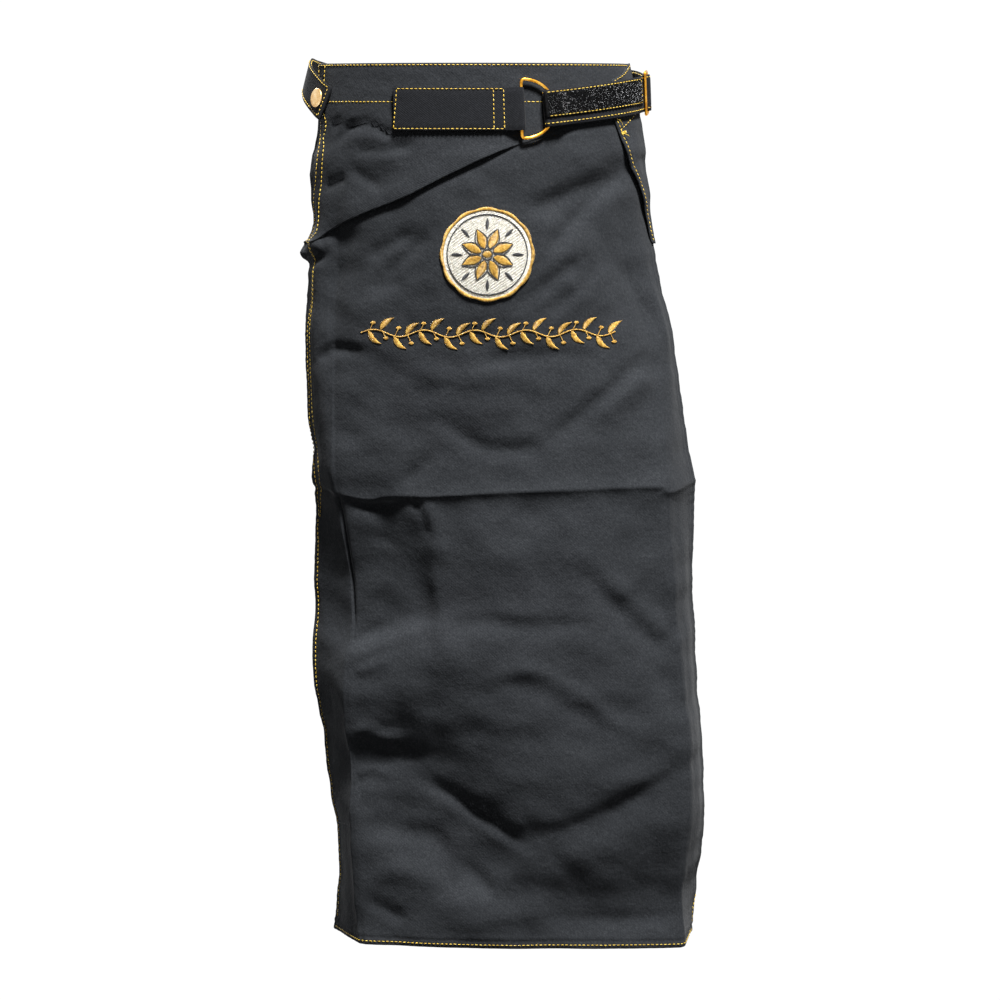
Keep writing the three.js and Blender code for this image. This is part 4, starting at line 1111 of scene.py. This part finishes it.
def makeTab():
    # The tab: one strip that runs along the top, round the ring's bar and back beneath itself
    bar, wall = belt["barPlace"], belt["tabWall"]
    eye = belt["wire"] + belt["clearance"] + wall / 2
    flatEnd = bar - belt["tabOpen"]
    upper, lower = belt["clearance"] + 1.5 * wall, belt["clearance"] + 0.5 * wall
    rows = [(length, upper) for length in np.linspace(belt["tabStart"], flatEnd, 9)]
    rows.append((bar - 6, outBar + eye * 0.55))
    rows += [(bar + eye * math.sin(t), outBar - eye * math.cos(t)) for t in np.linspace(math.pi, 0, 11)]
    rows.append((bar - 9, lower))
    rows += [(length, lower) for length in np.linspace(flatEnd - 2, belt["tabStart"], 9)]
    length, out = np.array(rows).T
    place, up = stationPath(np.stack([angleAt(length), np.full_like(out, -belt["drop"]), out, 0 * out], -1))
    path, ups = resampled(place, -up)
    grid, _, _ = bandGrid(path, ups, belt["tabWidth"], wall * 0.94, (-19.4, 19.4), puff=0.18)
    upright = waistPoint(0, 1)[0] - waistPoint(0, 0)[0]
    skew = belt["tabSkew"] * clamp((flatEnd - path[:, 0]) / 100)[:, None]
    grid[..., 0] += skew * ((grid - path[:, None]) @ upright)
    piece = bandMesh("tab_cloth", grid, webbing)
    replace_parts(piece, "ring_tab")
    corner = belt["tabWidth"] / 2 - 1.6
    start = belt["tabStart"] + 1.8
    lengths, heights = np.linspace(start, flatEnd, 90), np.linspace(-corner, corner, 40)
    rows = []
    for length, height in ((lengths, corner), (lengths, -corner), (start, heights), (flatEnd - 10, heights),
                           (flatEnd, heights)):
        place, normal = waistPoint(angleAt(length), -belt["drop"] + height, upper + wall / 2 - 0.1)
        rows.append(stitchRow(place, normal))
    thread = sewn("tab_stitches", rows)


makeTab()
print("tab and tape made")


def onBeltFrame(start, end):
    # Axes of a flat piece from one place to another on the belt: ahead, up the worn form there, and out
    ahead = unit(end - start)
    angle = math.atan2(start[0] / waist["halfWidth"], -start[1] / waist["frontDepth"])
    up = waistPoint(angle, start[2] + 1)[0] - waistPoint(angle, start[2])[0]
    up = unit(up - ahead * np.dot(up, ahead))
    return ahead, up, np.cross(ahead, up)


def evened(points, count, window):
    # A closed line at even steps, its corners rounded by a running mean over the window
    loop = np.concatenate([points, points[:1]])
    steps = lengthsAlong(loop)
    at = np.linspace(0, steps[-1], count, endpoint=False)
    even = np.stack([np.interp(at, steps, loop[:, n]) for n in range(2)], -1)
    return sum(np.roll(even, shift, axis=0) for shift in range(-window, window + 1)) / (2 * window + 1)


def makeRing():
    # D-ring: a straight bar and the curve (reach cos^0.9, half sin), as one bent wire
    turn = np.linspace(-math.pi / 2, math.pi / 2, 120)
    flat = evened(np.stack([ringReach * np.cos(turn).clip(0) ** 0.9, ringHalf * np.sin(turn)], -1), 260, 6)
    start = waistPoint(angleAt(belt["barPlace"]), -belt["drop"], outBar)[0]
    end = waistPoint(angleAt(belt["barPlace"] + ringReach), -belt["drop"], outWire)[0]
    ahead, up, out = onBeltFrame(start, end)
    path = start + flat[:, :1] * ahead + flat[:, 1:] * up
    points, faces = closedTube(wireGrid(path, out, belt["wire"]), closeRows=True)
    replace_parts(addMesh("ring_wire", points, faces, brass), "d_ring")


def makeSlide():
    # Three-bar slide: a frame with round corners and a bar across its middle
    pitch, radius, fall = strap["slidePitch"], strap["slideRadius"], strap["slideFall"]
    half = strap["slideInside"] / 2 + radius
    flat = evened(np.array([(pitch, half), (-pitch, half), (-pitch, -half), (pitch, -half)]), 240, 5)
    bar = np.stack([np.zeros(20), np.linspace(-half, half, 20)], -1)
    level = outFront + slideStep / 2
    ends = ((sideLength - pitch, level), (sideLength + pitch, level - fall))
    start, end = (waistPoint(angleAt(length), strapHeight(length), out)[0] for length, out in ends)
    ahead, up, out = onBeltFrame(start, end)
    up = unit(up - strap["slideLean"] * out)
    out = np.cross(ahead, up)
    centre = (start + end) / 2
    tubes = []
    for line, closed in ((flat, True), (bar, False)):
        path = centre + line[:, :1] * ahead + line[:, 1:] * up
        tubes.append(closedTube(wireGrid(path, out, radius, closed=closed), closeRows=closed))
    (framePoints, frameFaces), (barPoints, barFaces) = tubes
    faces = [*frameFaces, *(face + len(framePoints) for face in barFaces)]
    piece = addMesh("slide_wire", np.concatenate([framePoints, barPoints]), faces, brass)
    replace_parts(piece, "strap_slide")


def makeButton():
    # Button: a profile turned about its axis, with a raised rim, a ring of beads and a low boss
    foot = strap["over"] + strap["wall"] + 2 * belt["clearance"]
    inner = -(panel["wall"] + panel["hemExtra"] + belt["clearance"])
    # radius and height over the inner face, then over the foot
    shank = [(0.001, -1.2), (5.2, -1.2), (5.5, -0.9), (5.5, 0.0), (2.3, 0.0)]
    cap = [(2.3, 0.0), (8.9, 0.0), (9.35, 0.2), (9.5, 0.8), (9.4, 1.5), (8.9, 2.0), (8.3, 2.15), (7.9, 1.95),
           (7.5, 2.0), (7.0, 2.35), (6.4, 2.45), (5.6, 2.5), (5.0, 2.35), (4.4, 2.4), (3.4, 2.9), (2.0, 3.25),
           (0.8, 3.36), (0.001, 3.4)]
    profile = np.concatenate([np.array(shank) + [0, inner], np.array(cap) + [0, foot]])[:, :, None, None]
    sides = 64
    turn = np.arange(sides) * 2 * math.pi / sides
    place, normal = waistPoint(strap["buttonAngle"] * degree, strap["buttonHeight"] * belt["drop"])
    side = unit(np.cross(normal, [0, 0, 1]))
    up = np.cross(side, normal)
    ring = side * np.cos(turn)[:, None] + up * np.sin(turn)[:, None]
    points, faces = closedTube(place + profile[:, 0] * ring[None] + profile[:, 1] * normal)
    piece = addMesh("button_cap", points, faces, paleBrass)
    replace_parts(piece, "strap_button")


makeRing()
makeSlide()
makeButton()
print("metal made")


# Seams of the panel


hems = {
    # the left hem's two rows as (z, x), then insets from the edges in mm
    "outerRow": [(-2, -156), (-14, -156), (-40, -156), (-59, -155), (-73, -156.5), (-80, -156.6),
                 (-94, -156.8), (-111, -158), (-130, -160), (-150, -160.3), (-168, -159.8), (-177, -162),
                 (-200, -161), (-260, -167), (-328, -166.6), (-370, -164.5), (-404, -159.5), (-456, -158.5)],
    "innerRow": [(-2, -149.5), (-19, -150.3), (-35, -149), (-48, -151), (-57, -149.5), (-66, -150.3),
                 (-73, -153), (-82, -151.5), (-102, -151.8), (-130, -154), (-157, -155.7), (-168, -156.4),
                 (-177, -160), (-200, -160.5), (-260, -165), (-328, -164), (-370, -160), (-404, -154),
                 (-456, -158)],
    "rowsTo": 456.0,
    "lowInset": 7.0,
    "footInset": 4.2,
    "topInset": 2.1,
    "backInset": 9.0,
}


def backRow(u, down):
    # The same seam seen from behind: points on the inner face, a wall and a hem away
    place, normal = onCloth(u, down, out=-(panel["wall"] + panel["hemExtra"] + 0.1))
    return stitchRow(place, -normal)


def flapAt(p, v, out):
    # A place out of the dog-ear's middle at p and v, and its normal there
    middle, normal, _ = flapMiddle(*np.broadcast_arrays(np.asarray(p, float), np.asarray(v, float)))
    return middle + normal * out, normal


def makeSeams():
    # Rows of stitches on the finished face, and again behind it, where the same seam shows
    length = panel["length"]
    table = np.linspace(0, 1, 400)
    width = widthAt(table)
    rows = []
    for name in ("outerRow", "innerRow"):
        line = smoothLine(hems[name], 400)
        rows.append(stitchRow(*facePoint(line[:, 1], line[:, 0], 0.15)))
    down = np.linspace(hems["rowsTo"] / length, 0.985, 400)
    rows.append(stitchRow(*onCloth(hems["lowInset"] / np.interp(down, table, width), down)))
    down = np.linspace(0.955, 0.988, 40)
    inset = hems["lowInset"] * ease((down - 0.945) / 0.03) + 1.0
    rows.append(stitchRow(*onCloth(1 - inset / np.interp(down, table, width), down)))
    foot, top, facing = 1 - hems["footInset"] / length, hems["topInset"] / length, panel["facing"] / length
    for start, end, count, at, trim in ((0.012, 0.988, 400, foot, 0), (0.006, 0.999, 300, top, 8),
                                        (0.03, 0.93, 300, facing, 0)):
        u = np.linspace(start, end, count)
        rows.append(stitchRow(*onCloth(u, at)))
        rows.append(backRow(u[trim : count - trim], at))
    down = np.linspace(0.01, 0.985, 700)
    rows.append(backRow(hems["backInset"] / np.interp(down, table, width), down))
    down = down[down > flap["end"] + 0.01]
    rows.append(backRow(1 - hems["backInset"] / np.interp(down, table, width), down))
    v = np.linspace(0.12, 0.99, 160)
    _, _, wide = flapMiddle(np.full_like(v, 2.0), v)
    rows.append(stitchRow(*flapAt(2 - np.minimum(0.9, flap["hemInset"] / (wide * flap["around"])), v, 1.1)))
    across = np.linspace(1.02, 1.95, 40)
    for start, end in ((0.012, 0.012), (flap["facingFrom"], flap["facingTo"])):
        rows.append(stitchRow(*flapAt(across, start + (end - start) * (across - 1), 0.8)))
    # bar tack across the flap's hem, and two loose thread ends
    v = np.linspace(flap["tackAt"], flap["tackAt"] + 0.012, 7)
    left, normal = flapAt(1.97, v, 1.3)
    right, _, _ = flapMiddle(np.full_like(v, 1.76), v)
    rows.append(spindles(left, right + normal * 1.2, normal, 0.8, 0.7, arch=0.4))
    for start, end in (((1.84, 0.3), (1.93, 0.24)), ((1.9, 0.33), (1.78, 0.36))):
        a, normal = flapAt([start[0]], [start[1]], 1.4)
        b, _, _ = flapMiddle(np.array([end[0]]), np.array([end[1]]))
        rows.append(spindles(a, b + normal * 3.0, normal, 0.6, 0.6, arch=1.5, rings=6))
    return sewn("panel_stitches", rows)


pieces["seams"] = makeSeams()


# Embroidery: a generic rosette on a scalloped badge, and a row of leaves


def threadsAcross(centres, headings, halfWidths, spacing, slant=0.35):
    # Satin stitch: along a flat centre line, threads cross it at even steps, from one side of the shape to
    # the other, each slanted by a share of its half width
    halfWidths = np.broadcast_to(np.asarray(halfWidths, float), len(centres))
    headings = np.broadcast_to(headings, centres.shape)
    line = alongLine(np.concatenate([centres, headings, halfWidths[:, None]], axis=1), spacing)
    centre, heading, half = line[:, :2], unit(line[:, 2:4]), line[:, 4:5]
    reach = (np.stack([-heading[:, 1], heading[:, 0]], -1) - heading * slant) * half
    return centre + reach, centre - reach


def lineThreads(line, halfWidths, spacing, slant=0.35):
    # Threads across a line that heads along its own steps
    return threadsAcross(line, np.gradient(line, axis=0), halfWidths, spacing, slant)


def discThreads(centre, reach, radius, count):
    # Upright threads that fill a small disc, from its edge to its edge
    across = np.linspace(-reach, reach, count)
    chord = np.sqrt(radius**2 - across**2)
    return centre + np.stack([across, chord], -1), centre + np.stack([across, -chord], -1)


def embroider(name, sets, material, out, width, arch, rings=3, sides=5):
    # Threads on the cloth between the flat starts and ends of several sets
    starts, ends = (np.concatenate(flat) for flat in zip(*sets))
    a, normalA = facePoint(starts[:, 0], starts[:, 1], out)
    b, normalB = facePoint(ends[:, 0], ends[:, 1], out)
    points, faces = spindles(a, b, unit(normalA + normalB), width, 0.55, arch=arch, rings=rings, sides=sides)
    addMesh(name, points, faces, material)


emblem = {
    "wall": 1.2,
    "scallops": 12,
    "scallopDepth": 1.6,
    "rimInner": 42.6,
    "petals": 8,
    "petal": (6.5, 20.0, 5.4),  # mm from the centre, length, half width
    "leaf": (24.0, 12.0, 2.1),
    "circles": ((39.2, 0.7), (5.0, 0.8)),  # radius, half width
    "clearance": 0.3,
}


def emblemEdge(turn):
    # Scalloped outline: radius - depth (1 - |cos(scallops turn / 2)|)
    return badge["radius"] - emblem["scallopDepth"] * (1 - np.abs(np.cos(emblem["scallops"] * turn / 2)))


def makeBadgeBase():
    # A disc that follows the cloth: rings of radius share x edge(turn), closed below by the same disc
    sectors, rings = 192, 26
    turn = np.arange(sectors) * 2 * math.pi / sectors
    share = np.concatenate([[0.001], np.linspace(0, 1, rings)[1:], [1.0]])
    level = np.full(len(share), emblem["clearance"] + emblem["wall"] - 0.35)
    level[-2] -= 0.25
    level[-1] = emblem["clearance"]
    share = np.concatenate([share, share[-3:0:-1], [0.001]])
    level = np.concatenate([level, np.full(len(share) - len(level), emblem["clearance"])])
    radius = share[:, None] * (emblemEdge(turn)[None, :] - 0.6)
    x, z = badge["x"] + radius * np.cos(turn), badge["z"] + radius * np.sin(turn)
    points, faces = closedTube(facePoint(x, z, np.broadcast_to(level[:, None], x.shape))[0])
    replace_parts(addMesh("badge_base", points, faces, creamThread), "emblem")


def directions(turn):
    # (cos turn, sin turn)
    return np.stack([np.cos(turn), np.sin(turn)], -1)


def makeBadgeThreads():
    # Satin threads over the disc: a cream ground, a gold rim, and the rosette
    top = emblem["clearance"] + emblem["wall"] - 0.3
    centre = np.array([badge["x"], badge["z"]])
    inner = emblem["rimInner"]
    # ground: rows of short cream stitches, offset like bricks
    rowGap, length = 0.95, 4.2
    z = np.arange(-inner, inner, rowGap)
    gridX = np.arange(-inner - length, inner, length)[None, :] + (np.arange(len(z)) % 3)[:, None] * length / 3
    gridZ = np.broadcast_to(z[:, None], gridX.shape)
    keep = (np.hypot(gridX, gridZ) < inner) & (np.hypot(gridX + length, gridZ) < inner)
    starts = np.stack([gridX[keep], gridZ[keep]], -1) + centre
    ground = [(starts, starts + [length, 0])]
    embroider("badge_ground", ground, creamThread, top, width=0.95, arch=0.12, rings=1, sides=4)
    # rim: gold satin threads from the scalloped edge inwards
    turn = np.arange(0, 2 * math.pi, 0.75 / badge["radius"])
    rim = [(centre + directions(turn) * emblemEdge(turn)[:, None], centre + directions(turn + 0.03) * inner)]
    embroider("badge_rim", rim, goldThread, top, width=0.95, arch=0.7)
    # rosette: petals with half width W sin(pi t^0.8), gold and outlined in charcoal, with leaves between them
    t = np.linspace(0, 1, 40)
    gold, charcoal = [], []
    for n in range(emblem["petals"]):
        start, length, width = emblem["petal"]
        axis = directions(2 * math.pi * (n + 0.5) / emblem["petals"])
        line = centre + axis * (start + length * t)[:, None]
        half = width * np.sin(math.pi * t**0.8)
        gold.append(threadsAcross(line, axis, half, 0.7))
        side = np.array([-axis[1], axis[0]])
        for sign in (1, -1):
            charcoal.append(lineThreads(line + side * sign * (half + 0.5)[:, None], 0.75, 0.6))
        start, length, width = emblem["leaf"]
        axis = directions(2 * math.pi * n / emblem["petals"])
        line = centre + axis * (start + length * t)[:, None]
        charcoal.append(threadsAcross(line, axis, width * np.sin(math.pi * t), 0.65))
    circle = directions(np.linspace(0, 2 * math.pi, 240))
    for radius, half in emblem["circles"]:
        charcoal.append(lineThreads(centre + radius * circle, half, 0.6))
    gold.append(discThreads(centre, 4.2, 4.3, 12))
    embroider("badge_rosette", gold, goldThread, top + 0.35, width=0.8, arch=0.35)
    embroider("badge_outline", charcoal, charcoalThread, top + 0.3, width=0.8, arch=0.35)


leaves = {
    "left": -112.0,
    "right": 139.0,
    "z": -265.0,
    "wave": 3.4,
    "period": 50.0,
    "count": 20,
    "lean": 52.0,
    "length": 17.0,
    "half": 3.6,
    "bend": 2.4,
    "berry": (5.5, 7.5),  # from the leaf's foot, along the stem and away from the leaf
}


def stemHeight(x):
    # z + wave sin(2 pi (x - left) / period)
    return leaves["z"] + leaves["wave"] * np.sin((x - leaves["left"]) * 2 * math.pi / leaves["period"])


def makeLeafRow():
    # A waving stem with leaves to both sides and berries between, in gold satin stitch straight on the cloth
    x = np.linspace(leaves["left"], leaves["right"], 320)
    sets = [lineThreads(np.stack([x, stemHeight(x)], -1), 0.9, 0.75)]
    t = np.linspace(0, 1, 36)
    half = leaves["half"] * np.sin(math.pi * t**0.75) ** 0.9
    for n in range(leaves["count"]):
        side = 1 if n % 2 else -1
        at = leaves["left"] + (leaves["right"] - leaves["left"]) * (n + 0.5) / leaves["count"]
        foot = np.array([at, stemHeight(at)])
        axis = directions(leaves["lean"] * degree) * [1, side]
        bend = np.array([axis[1] * -side, axis[0] * side]) * leaves["bend"]
        line = foot + axis * (1.2 + leaves["length"] * t)[:, None] + bend * (np.sin(math.pi * t) - t)[:, None]
        sets.append(lineThreads(line, np.maximum(half, 0.25), 0.72, slant=0.5))
        berry = foot + np.array(leaves["berry"]) * [1, -side]
        sets.append(lineThreads(np.linspace(foot + [2.0, 0], berry, 12), 0.6, 0.75))
        sets.append(discThreads(berry, 2.1, 2.3, 7))
    embroider("leaf_row", sets, goldThread, 0.15, width=0.85, arch=0.55)


makeBadgeBase()
makeBadgeThreads()
makeLeafRow()
print("embroidery made")


# Stage, lights and camera

studio = {
    # in metres and degrees
    "cameraPlace": (0.025, -3.3, -0.04),
    "cameraPitch": 83.0,
    "sensor": 36,
    "lens": 3227 * 36 / 1000,  # a focal length of 3227 pixels of 1000 across
    "floor": -1.2,
    "floorRadius": 0.7,
    "domeRadius": 9.0,
}


def addStage(name, points, faces, material):
    # Points in metres
    mesh = bpy.data.meshes.new(name)
    mesh.from_pydata(points.tolist(), [], faces.tolist())
    mesh.polygons.foreach_set("use_smooth", np.ones(len(mesh.polygons), bool))
    mesh.materials.append(material)
    stage = bpy.data.objects.new(name, mesh)
    bpy.context.scene.collection.objects.link(stage)
    stage.visible_diffuse = False  # no light thrown up at the hem
    return stage


def makeStudio():
    # A round pale floor below the hem, and far round everything a white dome that only camera and gloss see
    sides, rings = 96, 24
    circle = directions(np.arange(sides) * 2 * math.pi / sides)
    disc = np.append(studio["floorRadius"] * circle, np.full((sides, 1), studio["floor"]), axis=1)
    paper, _, _ = newMaterial("pale_floor_paper", Base_Color=linear("#dedede"), Roughness=0.9)
    addStage("floor", disc, np.arange(sides)[None, :], paper)
    tilt = np.linspace(0.01, math.pi - 0.01, rings)[:, None]
    ball = [np.sin(tilt) * circle[:, 0], np.sin(tilt) * circle[:, 1], np.cos(tilt) + 0 * circle[:, 0]]
    white, _, _ = newMaterial("white_studio", Base_Color=(0, 0, 0, 1), Emission_Strength=1.0,
                              Emission_Color=(1, 1, 1, 1))
    white.cycles.emission_sampling = "NONE"  # it lights nothing, so no light samples go to it
    points = np.stack(ball, -1).reshape(-1, 3) * studio["domeRadius"]
    dome = addStage("dome", points, gridFaces(rings, sides, closeColumns=True), white)
    dome.visible_shadow = False


def addLight(name, place, target, size, power):
    # A square area light of a size in metres and a power in watts, turned to its target: tilt and heading of
    # the line from place to target
    data = bpy.data.lights.new(name, "AREA")
    data.shape = "SQUARE"
    data.size = size
    data.energy = power
    light = bpy.data.objects.new(name, data)
    bpy.context.scene.collection.objects.link(light)
    light.location = place
    x, y, z = np.array(target) - np.array(place)
    light.rotation_euler = (math.atan2(math.hypot(x, y), -z), 0, math.atan2(-x, y))
    return light


makeStudio()
addLight("key", (0.9, -1.95, 4.1), (0.0, -0.1, -0.42), 0.9, 36).data.spread = 40 * degree
addLight("fill", (-2.2, -2.4, 0.4), (0.0, -0.1, -0.5), 1.8, 0.8)
addLight("back", (-0.9, 2.4, 1.5), (0.0, 0.0, -0.4), 1.2, 95)
world = bpy.data.worlds.new("studio")
world.use_nodes = True
background = world.node_tree.nodes["Background"]
background.inputs["Color"].default_value = (1, 1, 1, 1)
background.inputs["Strength"].default_value = 0.06
bpy.context.scene.world = world
bpy.context.scene.view_settings.view_transform = "Standard"

camera = bpy.data.objects.new("camera", bpy.data.cameras.new("camera"))
bpy.context.scene.collection.objects.link(camera)
camera.data.lens = studio["lens"]
camera.data.sensor_width = studio["sensor"]
camera.location = studio["cameraPlace"]
camera.rotation_euler = (studio["cameraPitch"] * degree, 0, 0)
bpy.context.scene.camera = camera
print("stage set")
